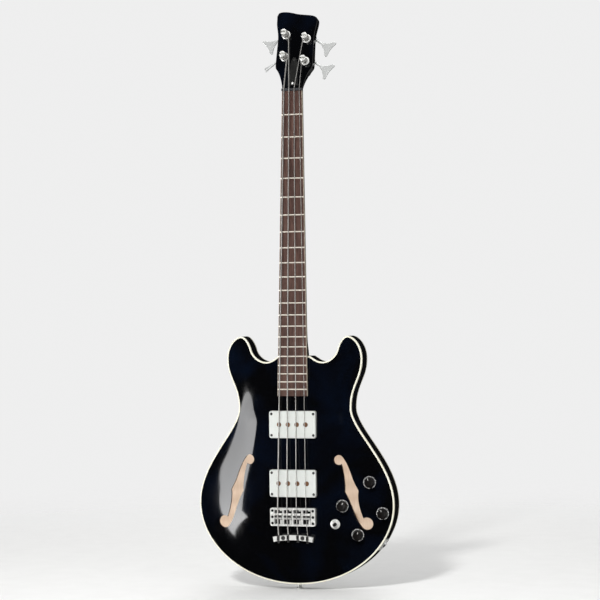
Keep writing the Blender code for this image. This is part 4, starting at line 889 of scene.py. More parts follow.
def lacquer():
    """Black lacquer: a hint of blue in soft clouds, polished, with faint wipe marks."""
    look = Look("black_lacquer", Coat_Weight=0.25, Coat_Roughness=0.03, IOR=1.45)
    clouds = look.noise(7.0, 3.0, 0.55, 0.6)
    tint = look.ramp(clouds, (0.45, (0.0010, 0.0011, 0.0015)), (0.75, (0.0014, 0.0036, 0.0100)))
    look.set("Base Color", tint)
    marks = look.noise(90.0, 6.0, 0.7, 0.0, look.stretched(1.0, 1.0, 0.25))
    look.set("Roughness", look.span(marks, 0.05, 0.12))
    peel = look.noise(260.0, 2.0, 0.5)
    look.bumps((look.noise(14.0, 1.0, 0.4), 0.05, 0.002), (peel, 0.02, 0.0004))
    return look.material


def cream():
    """Celluloid binding, yellowed a little unevenly."""
    look = Look("cream_binding", Coat_Weight=0.5, Coat_Roughness=0.08)
    grain = look.noise(35.0, 5.0, 0.6, 0.3)
    look.set("Base Color", look.ramp(grain, (0.30, (0.74, 0.71, 0.56)), (0.70, (0.83, 0.81, 0.70))))
    look.set("Roughness", look.span(look.noise(220.0), 0.24, 0.36))
    look.bumps((look.noise(500.0, 2.0), 0.05, 0.0003),)
    return look.material


def maple():
    """Bare maple inside the body: fine grain along the instrument and soft figure across it."""
    look = Look("bare_maple")
    grain = look.noise(60.0, 6.0, 0.65, 0.4, look.stretched(9.0, 9.0, 0.5))
    figure = look.waves(9.0, 6.0, "Z")
    wood = look.ramp(grain, (0.25, (0.60, 0.48, 0.38)), (0.55, (0.70, 0.59, 0.48)), (0.85, (0.77, 0.67, 0.56)))
    shade = look.ramp(figure, (0.0, (0.88, 0.86, 0.84)), (1.0, (1.0, 1.0, 1.0)))
    look.set("Base Color", look.mix(1.0, wood, shade, "MULTIPLY"))
    look.set("Roughness", look.span(grain, 0.5, 0.7))
    look.bumps((grain, 0.12, 0.0006),)
    return look.material


def rosewood():
    """Rosewood: dark streaks along the board, open pores and a dry, waxed face."""
    look = Look("rosewood_board", IOR=1.45)
    long_way = look.stretched(26.0, 26.0, 1.0)
    streaks = look.noise(9.0, 7.0, 0.62, 0.9, long_way)
    wood = look.ramp(streaks, (0.25, (0.024, 0.013, 0.011)), (0.45, (0.056, 0.028, 0.022)),
                     (0.62, (0.090, 0.048, 0.037)), (0.85, (0.125, 0.076, 0.060)))
    pores = look.noise(60.0, 4.0, 0.7, 0.0, look.stretched(22.0, 22.0, 1.4))
    holes = look.span(pores, 0.0, 1.0, 0.56, 0.66)
    look.set("Base Color", look.mix(holes, wood, (0.012, 0.007, 0.006, 1.0)))
    look.set("Roughness", look.span(streaks, 0.46, 0.62))
    look.bumps((pores, 0.25, 0.0003), (streaks, 0.1, 0.0005))
    return look.material


def metal(name, colour, low, high, brushed=(1.0, 1.0, 1.0), scale=300.0, bump=0.03):
    """Plated or bare metal: smudges, fine scratches along one way and a slight change of tone."""
    look = Look(name, Metallic=1.0)
    smudge = look.noise(45.0, 5.0, 0.6, 0.5)
    dull = tuple(part * 0.86 for part in colour)
    look.set("Base Color", look.ramp(smudge, (0.30, dull), (0.62, colour)))
    scratches = look.noise(scale, 4.0, 0.7, 0.0, look.stretched(*brushed))
    look.set("Roughness", look.mix(0.5, look.span(scratches, low, high), look.span(smudge, high, low)))
    look.bumps((scratches, bump, 0.0002),)
    return look.material


def satin(name, colour, metallic, low, high):
    """Brushed plating that scatters light: even in colour, with fine streaks and a few soft smudges."""
    look = Look(name, Metallic=metallic, IOR=1.6)
    streaks = look.noise(90.0, 5.0, 0.65, 0.0, look.stretched(10.0, 10.0, 1.0))
    dull = tuple(part * 0.93 for part in colour)
    look.set("Base Color", look.ramp(streaks, (0.30, dull), (0.65, colour)))
    look.set("Roughness", look.span(look.noise(60.0, 4.0), low, high))
    look.bumps((streaks, 0.02, 0.0001),)
    return look.material


def plastic(name, dark, light, low, high, **sockets):
    """Moulded, painted or stained: a slight change of tone and a fine grain."""
    look = Look(name, **sockets)
    cloud = look.noise(120.0, 5.0, 0.6)
    look.set("Base Color", look.ramp(cloud, (0.3, dark), (0.7, light)))
    look.set("Roughness", look.span(look.noise(360.0), low, high))
    look.bumps((look.noise(960.0, 2.0), 0.06, 0.0002),)
    return look.material


def wound_string():
    """Round-wound steel: close turns of wrap wire across a core, the colour darkened in the gaps between turns
    as painted shade.
    """
    look = Look("wound_string", Metallic=0.70)
    turns = look.waves(1250.0, 0.0, "Z")
    wear = look.noise(30.0, 4.0, 0.6, 0.0, look.stretched(4.0, 4.0, 1.0))
    metal_colour = look.ramp(wear, (0.3, (0.40, 0.39, 0.37)), (0.7, (0.56, 0.55, 0.53)))
    # The colour darkens in the gaps between turns: painted shade.
    gap_shade = look.ramp(turns, (0.0, (0.45, 0.44, 0.42)), (0.35, (1.0, 1.0, 1.0)))
    look.set("Base Color", look.mix(1.0, metal_colour, gap_shade, "MULTIPLY"))
    look.set("Roughness", look.span(wear, 0.26, 0.40))
    look.bumps((turns, 0.35, 0.00012),)
    return look.material


def coil_winding():
    """Fine enamelled wire, turn by turn, dark in the gaps and light on the crests: painted shade and highlight.
    """
    look = Look("coil_winding", Metallic=0.4)
    turns = look.waves(700.0, 1.5, "Y")
    # The colour runs from dark in each gap to light on each crest: painted shade and highlight of the round
    # wires.
    look.set("Base Color", look.ramp(turns, (0.0, (0.10, 0.035, 0.018)), (1.0, (0.42, 0.18, 0.09))))
    look.set("Roughness", look.span(look.noise(200.0), 0.3, 0.5))
    look.bumps((turns, 0.4, 0.0003),)
    return look.material


BLACK = lacquer()
CREAM = cream()
MAPLE = maple()
ROSEWOOD = rosewood()
CHROME = metal("chrome_plate", (0.86, 0.87, 0.89), 0.05, 0.14)
COVER = satin("satin_nickel_cover", (0.68, 0.70, 0.67), 0.22, 0.30, 0.42)
NICKEL = satin("nickel_plate", (0.80, 0.80, 0.77), 0.35, 0.16, 0.32)
KEY_METAL = satin("satin_key", (0.72, 0.73, 0.72), 0.45, 0.18, 0.34)
ROLLER = satin("dark_roller", (0.026, 0.025, 0.024), 0.15, 0.32, 0.48)
FRET_METAL = satin("nickel_silver_fret", (0.84, 0.78, 0.68), 0.35, 0.15, 0.30)
# Near-black for sheets and rods set in bridge bays, holes, saddle channels and tailpiece slots: painted shade.
PAINTED_SHADE = plastic("painted_shade_in_recesses", (0.0020, 0.0020, 0.0022), (0.0045, 0.0045, 0.0048), 0.6, 0.8,
               Specular_IOR_Level=0.08)
STEEL = metal("plain_steel", (0.56, 0.55, 0.53), 0.25, 0.45, (1.0, 1.0, 6.0), 200.0)
ZINC = metal("cast_zinc", (0.46, 0.46, 0.45), 0.40, 0.60, scale=150.0, bump=0.1)
COPPER = plastic("aged_copper_pole", (0.10, 0.045, 0.022), (0.24, 0.12, 0.06), 0.3, 0.5, Metallic=0.35)
WOUND = wound_string()
WINDING = coil_winding()
KNOB_BLACK = plastic("knob_black", (0.0022, 0.0019, 0.0018), (0.0060, 0.0048, 0.0044), 0.34, 0.50,
                     Specular_IOR_Level=0.22)
HARD_BLACK = plastic("hard_black", (0.010, 0.010, 0.011), (0.022, 0.022, 0.023), 0.32, 0.5)
WOOD_EDGE = plastic("stained_wood_edge", (0.022, 0.008, 0.005), (0.060, 0.024, 0.014), 0.4, 0.6)
# A lighter tone for the thin strips along the board's edges.
LIGHT_BOARD_EDGE = plastic("light_board_edge", (0.26, 0.22, 0.17), (0.44, 0.39, 0.31), 0.3, 0.5)
COVER_BLACK = plastic("cover_black", (0.005, 0.005, 0.005), (0.012, 0.012, 0.011), 0.35, 0.5)
NUT_BLACK = plastic("graphite_nut", (0.020, 0.020, 0.022), (0.045, 0.045, 0.048), 0.35, 0.5)
MARK_WHITE = plastic("painted_mark", (0.84, 0.84, 0.83), (0.92, 0.92, 0.91), 0.4, 0.6)


# Screws

def screw_head(radius, height, crossed=True):
    """A domed head with its foot at z = 0 and a cross or one slot right across."""
    profile = [(0.0, height)]
    for step in range(1, 6):
        angle = math.pi / 2 * step / 6
        profile.append((radius * math.sin(angle), height * (0.35 + 0.65 * math.cos(angle))))
    profile += [(radius, height * 0.35), (radius * 0.97, 0.0), (0.0, 0.0)]
    head = turned(profile, 24)
    width, reach = radius * 0.26, radius * 1.35
    depth, top = 2 * height * 0.45, (0.0, 0.0, height)
    if crossed:
        cuts = [box(reach, width, depth, top), box(width, reach, depth, top)]
    else:
        cuts = [box(3 * radius, width, depth, top)]
    return carved(head, cuts)


# Body

def plan_sheet(outer, holes):
    """Triangles in the plane over an outline with holes: places and faces."""
    loops = [np.array(outer)] + [np.array(hole) for hole in holes]
    places = np.concatenate(loops)
    edges, start = [], 0
    for loop in loops:
        count = len(loop)
        edges += [(start + i, start + (i + 1) % count) for i in range(count)]
        start += count
    low, high = loops[0].min(axis=0), loops[0].max(axis=0)
    columns = np.arange(low[0], high[0], SHEET_SPACING)
    rows = np.arange(low[1], high[1], SHEET_SPACING * 0.866)
    grid = np.array([(x + (row % 2) * SHEET_SPACING / 2, y) for row, y in enumerate(rows) for x in columns])
    clear = SHEET_SPACING * 0.45
    keep = edge_distance(grid, loops[0]) > clear
    for hole in loops[1:]:
        outside = edge_distance(grid, hole) == 0.0
        near = np.zeros(len(grid), bool)
        for first in range(0, len(grid), CHUNK):
            some = grid[first:first + CHUNK]
            gap = some[:, None] - hole[None]
            near[first:first + CHUNK] = np.sqrt((gap ** 2).sum(axis=2)).min(axis=1) < clear
        keep &= outside & ~near
    grid = grid[keep]
    everything = np.concatenate([places, grid])
    result = delaunay_2d_cdt([Vector(point) for point in everything], edges, [], 0, 0.0000001)
    points = np.array([tuple(point) for point in result[0]])
    faces = np.array([face for face in result[2] if len(face) == 3])
    middle = points[faces].mean(axis=1)
    keep = edge_distance(middle, loops[0]) > 0.0
    for hole in loops[1:]:
        keep &= edge_distance(middle, hole) == 0.0
    return points, faces[keep]


def arched_plate(outer, holes, side, rise, shading):
    """The top (side 1) or back (side -1): an arched sheet of even thickness, lacquered outside."""
    points, faces = plan_sheet(outer, holes)
    height = RIM_DEPTH / 2 + ARCH.height(points, rise)
    normal = shading.normals(points, rise)
    count = len(points)
    outside = np.column_stack([points, height * side])
    inside = np.column_stack([points, (height - PLATE) * side])
    area = np.cross(points[faces[:, 1]] - points[faces[:, 0]], points[faces[:, 2]] - points[faces[:, 0]])
    faces = np.where(area[:, None] > 0, faces, faces[:, ::-1])
    tally = {}
    for a, b, c in faces:
        for edge in ((a, b), (b, c), (c, a)):
            tally[edge] = tally.get(edge, 0) + 1
    walls = [(a, b) for a, b in tally if (b, a) not in tally]
    outer_faces = faces if side > 0 else faces[:, ::-1]
    inner_faces = (faces[:, ::-1] if side > 0 else faces) + count
    wall_faces = []
    for a, b in walls:
        quad = (a, a + count, b + count, b)
        wall_faces.append(quad if side > 0 else quad[::-1])
    polygons = outer_faces.tolist() + inner_faces.tolist() + [list(quad) for quad in wall_faces]
    mesh = bpy.data.meshes.new("plate")
    mesh.from_pydata(np.concatenate([outside, inside]).tolist(), [], polygons)
    materials = [0] * len(faces) + [1] * len(faces) + [2] * len(walls)
    mesh.polygons.foreach_set("material_index", materials)
    smooth(mesh, 40)
    corner = numbers(mesh.corner_normals, "vector")
    flip = np.array([1.0, 1.0, side])
    both = np.concatenate([normal * flip, -normal * flip])
    index = np.empty(len(mesh.loops), int)
    mesh.loops.foreach_get("vertex_index", index)
    surface = 2 * 3 * len(faces)
    corner[:surface] = both[index[:surface]]
    mesh.normals_split_custom_set(corner.tolist())
    return mesh


def pocket_outline(inset):
    """The top's outline with the opening for the tenon and for the sunk end of the board."""
    edge = body_outline(inset, FINE)
    half = TENON_WIDTH / 2 + GAP
    left = int(np.argmax((edge[:, 0] < half) & (edge[:, 1] > NEAR_NECK)))
    ring = [tuple(point) for point in edge[:left]]
    ring.append((half, NECK_JOINT_UP - inset))
    low = (NECK_IN_BODY @ Vector((0.0, -BOARD_LENGTH, 0.0))).y
    step_up = low + BOARD_SUNK
    wide = BOARD_END_WIDTH / 2 - 0.001
    wide_up = board_half_width(BOARD_LENGTH - BOARD_SUNK) - 0.001
    notch = [(half, step_up), (wide_up, step_up), (wide, low + 0.001)]
    ring += notch
    ring += [(-x, y) for x, y in reversed(notch)]
    ring.append((-half, NECK_JOINT_UP - inset))
    rest = [tuple(point) for point in edge if point[0] < -half or point[1] < NEAR_NECK]
    ring += [point for point in rest if point[0] < 0.0 and point not in ring]
    return ring


def build_body():
    holes = []
    for side in (1, -1):
        outline = [(side * x, y) for x, y in f_outline(6)]
        holes.append(outline[::side])
    for up in PICKUP_UP:
        holes.append(rounded_rectangle(PICKUP_WIDTH + 2 * ROUT_CLEARANCE, PICKUP_LENGTH + 2 * ROUT_CLEARANCE,
                                       PICKUP_CORNER + ROUT_CLEARANCE, 6, (0.0, up)))
    for place in KNOBS:
        holes.append(circle(POT_BUSHING + GAP, 24, place))
    holes.append(circle(SWITCH_BUSHING + GAP, 24, SWITCH))
    top = arched_plate(pocket_outline(BINDING_WIDTH), holes, 1, TOP_ARCH, SHEEN)
    skin = piece("body_top_skin", [(top, BODY, None)], (BLACK, MAPLE, WOOD_EDGE),
                 ("body_top",))
    # Light passes the top on its way in, so that the bare wood shows pale in the f-holes.
    skin.visible_shadow = False
    back = arched_plate(body_outline(BINDING_WIDTH, FINE), [], -1, BACK_ARCH, ARCH)
    piece("body_back_skin", [(back, BODY, None)], (BLACK, MAPLE, BLACK), ("body_back",))
    outer = RIM_DEPTH / 2
    inner = outer - PLATE
    width, round_off = BINDING_WIDTH, 0.0011
    section = [(width, inner), (0.0, inner), (0.0, outer - round_off)]
    for step in range(1, 5):
        angle = math.pi / 2 * step / 4
        section.append((round_off * (1 - math.cos(angle)), outer - round_off * (1 - math.sin(angle))))
    section.append((width, outer))
    piece("binding_front_strip", [(edge_strip(section, True), BODY)], (CREAM,), ("binding_front",))
    section = [(inset, -level) for inset, level in section]
    piece("binding_back_strip", [(edge_strip(section, False), BODY)], (CREAM,), ("binding_back",))
    section = [(RIM_WALL, -inner), (RIM_WALL, inner), (0.0, inner), (0.0, -inner)]
    rims = edge_strip(section, True, inside=RIM_WALL)
    piece("body_sides", [(rims, BODY, None)], (BLACK, MAPLE), ("rim_bass", "rim_treble"))


def edge_strip(section, opened, inside=None):
    """A strip round the body's edge with a section of (inset, level), opened for the neck if asked."""
    rings = []
    loops = [body_outline(inset, FINE) for inset, _ in section]
    count = len(loops[0])
    half = TENON_WIDTH / 2 + GAP
    order = range(count)
    if opened:
        inside_neck = [i for i in range(count) if abs(loops[0][i][0]) < half and loops[0][i][1] > NEAR_NECK]
        first = max(inside_neck) + 1
        order = [(first + i) % count for i in range(count - len(inside_neck))]
    for index in order:
        rings.append([(loop[index][0], loop[index][1], level) for loop, (_, level) in zip(loops, section)])
    if opened:
        for at, sign in ((0, -1), (-1, 1)):
            end = [(sign * half, NECK_JOINT_UP - inset, level) for inset, level in section]
            rings.insert(0, end) if at == 0 else rings.append(end)
    mesh = loft(rings, closed=not opened)
    if inside is not None:
        lining = []
        for polygon in mesh.polygons:
            flat_inset = [abs(edge_distance([tuple(mesh.vertices[i].co[:2])])[0]) for i in polygon.vertices[:4]]
            lining.append(1 if min(flat_inset) > inside * 0.5 and abs(polygon.normal.z) < 0.5 else 0)
        mesh.polygons.foreach_set("material_index", lining)
    return mesh


# Neck and headstock

def smooth_value(knots, at):
    """A smooth curve through (place, value) without overshoot."""
    xs = np.array([knot[0] for knot in knots])
    ys = np.array([knot[1] for knot in knots])
    slope = np.diff(ys) / np.diff(xs)
    tangent = np.concatenate([[slope[0]], np.where(slope[1:] * slope[:-1] > 0,
                              2 * slope[1:] * slope[:-1] / (slope[1:] + slope[:-1] + 1e-12), 0.0), [slope[-1]]])
    i = int(np.clip(np.searchsorted(xs, at) - 1, 0, len(xs) - 2))
    h = xs[i + 1] - xs[i]
    t = min(max((at - xs[i]) / h, 0.0), 1.0)
    return float((2 * t ** 3 - 3 * t ** 2 + 1) * ys[i] + (t ** 3 - 2 * t ** 2 + t) * h * tangent[i]
                 + (-2 * t ** 3 + 3 * t ** 2) * ys[i + 1] + (t ** 3 - t ** 2) * h * tangent[i + 1])


def heel_down(z):
    above_saddle = NECK_JOINT_UP + GAP - SADDLE_UP
    return SCALE_LENGTH - (above_saddle - (z - SADDLE_LIFT) * math.sin(NECK_ANGLE)) / math.cos(NECK_ANGLE)


def headstock_outline(fine=1):
    north = math.pi / 2
    side = smooth_outline((
        (HEAD_NECK, 0.0, math.radians(82), 0.0, 0.008, 3),
        (HEAD_EAR - 0.0035, HEAD_EAR_UP - 0.010, math.radians(52), 0.014, 0.004, 2),
        (HEAD_EAR, HEAD_EAR_UP, north, 0.005, 0.020, 3),
        (HEAD_WAIST, HEAD_WAIST_UP, north, 0.018, 0.014, 3),
        (HEAD_TOP, HEAD_CORNER_UP, math.radians(84), 0.014, 0.0, 1),
    ), fine)
    top = smooth_outline((
        (HEAD_TOP - 0.0028, HEAD_LOW_UP - 0.002, math.radians(140), 0.0, 0.004, 2),
        (0.024, HEAD_LOW_UP + 0.0035, math.radians(172), 0.010, 0.010, 3),
        (-0.006, HEAD_HIGH_UP - 0.004, math.radians(163), 0.010, 0.007, 3),
        (-0.029, HEAD_HIGH_UP, math.pi, 0.008, 0.006, 2),
        (-HEAD_TOP + 0.0018, HEAD_HIGH_UP - 0.004, math.radians(235), 0.004, 0.004, 2),
    ), fine)
    left = [(-x, y) for x, y in reversed(side)]
    corner = bezier(side[-1], (HEAD_TOP + 0.0004, HEAD_LOW_UP - 0.006),
                    (HEAD_TOP - 0.0012, HEAD_LOW_UP - 0.0035),
                    top[0], 5)[1:]
    return side + corner + top[:-1] + [(-HEAD_TOP, HEAD_HIGH_UP - 0.009)] + left[1:]


def neck_mesh():
    rings = []
    top = -BOARD_THICKNESS - GAP
    depths = [(down, depth) for down, depth, _ in NECK_SECTIONS]
    squares = [(down, square) for down, _, square in NECK_SECTIONS]
    downs = list(np.linspace(-NUT_THICKNESS, 0.46, 30)) + list(np.linspace(0.468, 0.545, 24))
    for down in downs:
        half = board_half_width(max(down, 0.0))
        depth = smooth_value(depths, down)
        square = smooth_value(squares, down)
        ring = [(x, top + z) for x, z in round_back(half, depth, square, 32)]
        rings.append([(x, -min(down, heel_down(z)), z) for x, z in ring])
    return loft(rings)


def round_back(half, depth, square, count):
    """Half a superellipse as (x, z), from one edge of the flat face round the back to the other."""
    points = []
    for index in range(count + 1):
        angle = math.pi * index / count
        x = math.copysign(abs(math.cos(angle)) ** (2 / square), math.cos(angle))
        points.append((half * x, -depth * math.sin(angle) ** (2 / square)))
    return points


def head_half(outline, up):
    """Half the headstock's width at a height near its root."""
    edge = [(y, x) for x, y in outline if x > 0.0 and y < 2 * HEAD_ROOT]
    return float(np.interp(up, *zip(*edge)))


def head_root(outline):
    """The round of the neck turning into the flat back of the headstock, in the headstock's frame."""
    shares = [share for share, _ in ROOT_SECTIONS]
    squares = [square for _, square in ROOT_SECTIONS]
    rings = []
    for step in range(17):
        up = HEAD_ROOT * step / 16
        half = head_half(outline, up)
        square = float(np.interp(step / 16, shares, squares))
        rings.append([(x, up, z - ROOT_STEP) for x, z in round_back(half, HEAD_THICKNESS, square, 40)])
    return loft(rings)


def build_neck():
    outline = headstock_outline(5)
    low = HEAD_ROOT - 0.001
    above = [(x, y) for x, y in outline if y > low]
    half = head_half(outline, low)
    head = slab([(half, low)] + above + [(-half, low)], -HEAD_THICKNESS, -0.0001, 0.0016, 0.0)
    tenon_from = heel_down(-BOARD_THICKNESS) - 0.008
    tenon_length = TENON_END - tenon_from
    tenon = box(TENON_WIDTH, tenon_length, TENON_DEPTH,
                (0.0, -tenon_from - tenon_length / 2, -BOARD_THICKNESS - GAP - TENON_DEPTH / 2))
    parts = [(neck_mesh(), NECK), (head_root(outline), HEAD), (head, HEAD), (tenon, NECK)]
    piece("neck_wood", parts, (BLACK,), ("neck",))
    face = [(x, max(y, 0.0015)) for x, y in outline]
    plate = slab(face, 0.0, GAP + FACEPLATE, 0.0, 0.0009)
    piece("headstock_face", [(plate, HEAD)], (BLACK,), ("headstock_faceplate",))
    half, narrow = COVER_WIDTH / 2, COVER_TOP_WIDTH / 2
    side = smooth_outline((
        (half, COVER_START, math.pi / 2, 0.0, 0.012, 4),
        (narrow, COVER_START + 0.6 * COVER_LENGTH, math.pi / 2, 0.014, 0.010, 4),
        (0.0, COVER_START + COVER_LENGTH, math.pi, narrow * 0.7, 0.0, 1),
    ), 6)
    cover_outline = side + [(-x, y) for x, y in reversed(side[:-1])]
    low = FACEPLATE + 2 * GAP
    high = low + COVER_THICKNESS
    cover = slab(cover_outline, low, high, 0.0, 0.0007)
    piece("truss_cover", [(cover, HEAD)], (COVER_BLACK,), ("truss_rod_cover",))
    low_screw = (screw_head(0.0026, 0.0010), HEAD @ shift(0.0, COVER_START + 0.0045, high - 0.0001), 0)
    top_screw = (screw_head(0.0015, 0.0007), HEAD @ shift(0.0, COVER_START + COVER_LENGTH - 0.0065,
                                                          high - 0.0001), 1)
    piece("truss_cover_screws", [low_screw, top_screw], (NICKEL, ROLLER))


def board_section(down, half, level_low, points=13):
    ring = []
    for index in range(points):
        x = between(half, -half, index / (points - 1))
        ring.append((x, -down, -camber(x)))
    ring.append((-half, -down, level_low))
    ring.append((half, -down, level_low))
    return ring


def fret(down):
    """One fret: a crowned wire bent to the board, its ends rounded off inside the board's edges."""
    half = board_half_width(down) - FRET_INSET
    rings = []
    stations = 15
    for station in range(stations):
        share = station / (stations - 1)
        x = between(-half, half, share)
        ends = min(1.0, math.sqrt(max(0.0, 1 - (max(0.0, abs(x) - half + 0.0012) / 0.0012) ** 2)) + 0.25)
        ring = []
        for index in range(9):
            angle = math.pi * index / 8
            ring.append((x, -down + FRET_RADIUS * math.cos(angle),
                         -camber(x) + FRET_HEIGHT * math.sin(angle) * ends - 0.00005))
        ring.append((x, -down - FRET_RADIUS, -camber(x) - 0.0006))
        ring.append((x, -down + FRET_RADIUS, -camber(x) - 0.0006))
        rings.append(ring)
    return loft(rings)


def build_board():
    binding = 0.0008
    downs = list(np.linspace(0.0, BOARD_LENGTH, 40))
    wood = loft([board_section(down, board_half_width(down) - binding, -BOARD_THICKNESS) for down in downs])
    # A thin lighter strip along each edge of the board.
    strips = []
    for side in (-1, 1):
        rings = []
        for down in downs:
            half = board_half_width(down)
            outer, inner = side * half, side * (half - binding)
            edge = 0.0004
            ring = [(outer, -down, -BOARD_THICKNESS), (inner, -down, -BOARD_THICKNESS),
                    (inner, -down, -camber(inner)), (side * (half - edge), -down, -camber(outer)),
                    (outer, -down, -camber(outer) - edge)]
            rings.append(ring)
        strips.append((loft(rings), NECK, 1))
    piece("fingerboard_wood", [(wood, NECK, 0)] + strips, (ROSEWOOD, LIGHT_BOARD_EDGE), ("fretboard",))
    frets = [(fret(fret_down(number)), NECK) for number in range(1, FRETS + 1)]
    piece("fret_wires", frets, (FRET_METAL,))


def build_nut():
    high = NUT_LIFT + NUT_RISE
    low = -BOARD_THICKNESS
    blank = box(BOARD_NUT_WIDTH, NUT_THICKNESS - GAP, high - low,
                (0.0, (NUT_THICKNESS + GAP) / 2, (high + low) / 2))
    cuts = []
    for index, radius in enumerate(STRING_RADII):
        x = string_x(index, NUT_SPACING)
        level = NUT_LIFT - camber(x)
        groove = rod(radius + CLEARANCE, -0.012, 0.006, 20)
        groove.transform(shift(x, 0.0, level) @ turn(math.pi / 2, "X"))
        mouth = box(2 * radius + 0.0002, 0.016, 0.006, (x, 0.002, level + 0.003))
        cuts += [groove, mouth]
    shaped = carved(blank, cuts, bevel=0.0004)
    piece("nut_bone", [(shaped, NECK)], (NUT_BLACK,), ("nut",))


# Tuners

def gear_outline(twist, phase):
    points = []
    for tooth in range(GEAR_TEETH):
        centre = phase + twist + 2 * math.pi * tooth / GEAR_TEETH
        foot = TOOTH_FOOT / 2 / GEAR_ROOT
        tip = TOOTH_TIP / 2 / GEAR_TIP
        middle = (GEAR_ROOT + GEAR_TIP) / 2
        half = (TOOTH_FOOT + TOOTH_TIP) / 4 / middle * 1.08
        for radius, offset in ((GEAR_ROOT, -foot), (middle, -half), (GEAR_TIP, -tip), (GEAR_TIP, tip),
                               (middle, half), (GEAR_ROOT, foot)):
            angle = centre + offset
            points.append((radius * math.cos(angle), radius * math.sin(angle)))
    return points


def post_parts(index):
    """A slotted post, and its worm wheel with a screw in the middle of its back."""
    hand = HANDS[index]
    way = -TUNER_SLANT if hand > 0 else math.pi + TUNER_SLANT
    level = worm_level()
    cap, waist = POST_CAP_RADIUS, POST_RADIUS
    high = POST_HEIGHT
    post = turned((
        (0.0, high), (cap - 0.0012, high), (cap - 0.0005, high - 0.0003), (cap, high - 0.0010),
        (cap, high - 0.0026), (cap - 0.0004, high - 0.0033), (waist, high - 0.0048),
        (waist - 0.0002, high - 0.008),
        (waist - 0.0002, 0.0060), (waist, 0.0048), (waist, level + GEAR_WIDTH / 2 - 0.0003), (0.0, level),
    ), 40)
    slot_angle = string_end(index) - way
    slot = box(2 * cap + 0.004, POST_SLOT, 2 * POST_SLOT_DEPTH)
    slot.transform(shift(z=high) @ turn(slot_angle, "Z"))
    bore = rod(0.0017, high - POST_SLOT_DEPTH - 0.006, high + 0.001, 20)
    post = carved(post, [slot, bore])
    lead = math.atan2(worm_pitch(), 2 * math.pi * WORM_PITCH_RADIUS)
    twist = math.tan(lead) * GEAR_WIDTH / 2 / (WORM_CENTRES - WORM_PITCH_RADIUS)
    phase = hand * math.pi / 2 + math.pi / GEAR_TEETH
    rings = []
    for share in (-1.0, -0.8, 0.0, 0.8, 1.0):
        z = level + share * GEAR_WIDTH / 2
        inset = 0.0003 if abs(share) == 1.0 else 0.0
        ring = []
        for x, y in gear_outline(share * twist, phase):
            radius = math.hypot(x, y)
            scale = 1.0 - inset / radius if radius > GEAR_ROOT * 1.05 else 1.0
            ring.append((x * scale, y * scale, z))
        rings.append(ring)
    wheel = loft(rings)
    smooth(wheel, 30)
    back = turned(((0.0, level), (0.0035, level), (0.0035, level - GEAR_WIDTH / 2 - 0.0010),
                   (0.0031, level - GEAR_WIDTH / 2 - 0.0015), (0.0, level - GEAR_WIDTH / 2 - 0.0015)), 28)
    slot = box(0.008, 0.0009, 0.0016, (0.0, 0.0, level - GEAR_WIDTH / 2 - 0.0016))
    back = carved(back, [slot])
    place = TUNERS[index]
    return [(post, place, 0), (wheel, place, 1), (back, place, 0)]


def thread_radius(turns):
    """The worm's radius at a share of a turn: a crest with sloping flanks on the core."""
    away = abs((turns + 0.5) % 1.0 - 0.5)
    return between(WORM_CORE, WORM_TIP, min(max((0.245 - away) / 0.13, 0.0), 1.0))


def worm_ring(radii, z):
    angles = [2 * math.pi * side / WORM_SIDES for side in range(WORM_SIDES)]
    return [(radius * math.cos(angle), radius * math.sin(angle), z) for radius, angle in zip(radii, angles)]


def worm_shaft(hand):
    """Stub, worm and shaft in one: a thread that fades in and out over a quarter turn."""
    pitch = worm_pitch()
    half = WORM_TURNS * pitch / 2
    inner_end = -EAR_AT - EAR - 0.0008
    ends = ((STUB_RADIUS - 0.0003, inner_end), (STUB_RADIUS, inner_end + 0.0003), (STUB_RADIUS, -half - GAP))
    rings = [worm_ring([radius] * WORM_SIDES, z) for radius, z in ends]
    steps = round(WORM_TURNS * WORM_SIDES)
    quarter = WORM_SIDES * 0.25
    for step in range(steps + 1):
        fade = min(1.0, step / quarter, (steps - step) / quarter)
        turns = (step - steps / 2) / WORM_SIDES - hand * 0.25
        radii = [between(WORM_CORE, thread_radius(turns - side / WORM_SIDES), fade)
                 for side in range(WORM_SIDES)]
        rings.append(worm_ring(radii, -half + step * pitch / WORM_SIDES))
    rings += [worm_ring([SHAFT_RADIUS] * WORM_SIDES, z) for z in (half + GAP, KEY_STEM + KEY_LOBE)]
    return smooth(loft(rings), 50)


def key_parts(index):
    """A tuner's key: the shaft with its worm, a collar outside the plate, and the three-lobed blade."""
    place = SHAFTS[index]
    base = EAR_AT + EAR
    near, wide = SHAFT_RADIUS + 0.0006, SHAFT_RADIUS + 0.0011
    collar = turned(((0.0, base + 0.0042), (near, base + 0.0042), (wide, base + 0.0036), (wide, base + 0.0012),
                     (near, base + 0.0006), (0.0, base + 0.0006)), 32)
    upright = turn(math.pi / 2 + KEY_TURNS[index], "Z") @ turn(math.pi / 2, "X")
    blade = slab(key_outline(6), -KEY_THICKNESS / 2, KEY_THICKNESS / 2, 0.0011, 0.0011, 4)
    return [(worm_shaft(HANDS[index]), place), (collar, place), (blade, place @ upright)]


def key_outline(fine=1):
    centres = [Vector((0.0, KEY_STEM)), Vector((KEY_SPREAD, KEY_STEM + KEY_LENGTH)),
               Vector((-KEY_SPREAD, KEY_STEM + KEY_LENGTH))]
    middle = sum(centres, Vector((0.0, 0.0))) / 3
    points = []
    for index, centre in enumerate(centres):
        before = (centre - centres[index - 1]).normalized()
        after = (centres[(index + 1) % 3] - centre).normalized()
        start = math.atan2(-before.x, before.y)
        sweep = before.angle(after)
        steps = 3 * fine
        for step in range(steps + 1):
            angle = start + sweep * step / steps
            points.append(centre + Vector((math.cos(angle), math.sin(angle))) * KEY_LOBE)
        following = centres[(index + 1) % 3]
        outward = ((centre + following) / 2 - middle).normalized()
        shares = 4 * fine
        for step in range(1, shares):
            share = step / shares
            hollow = KEY_DISH * math.sin(math.pi * share) ** 1.15
            points.append(centre.lerp(following, share) + outward * (KEY_LOBE - hollow))
    return [(point.x, point.y) for point in points]


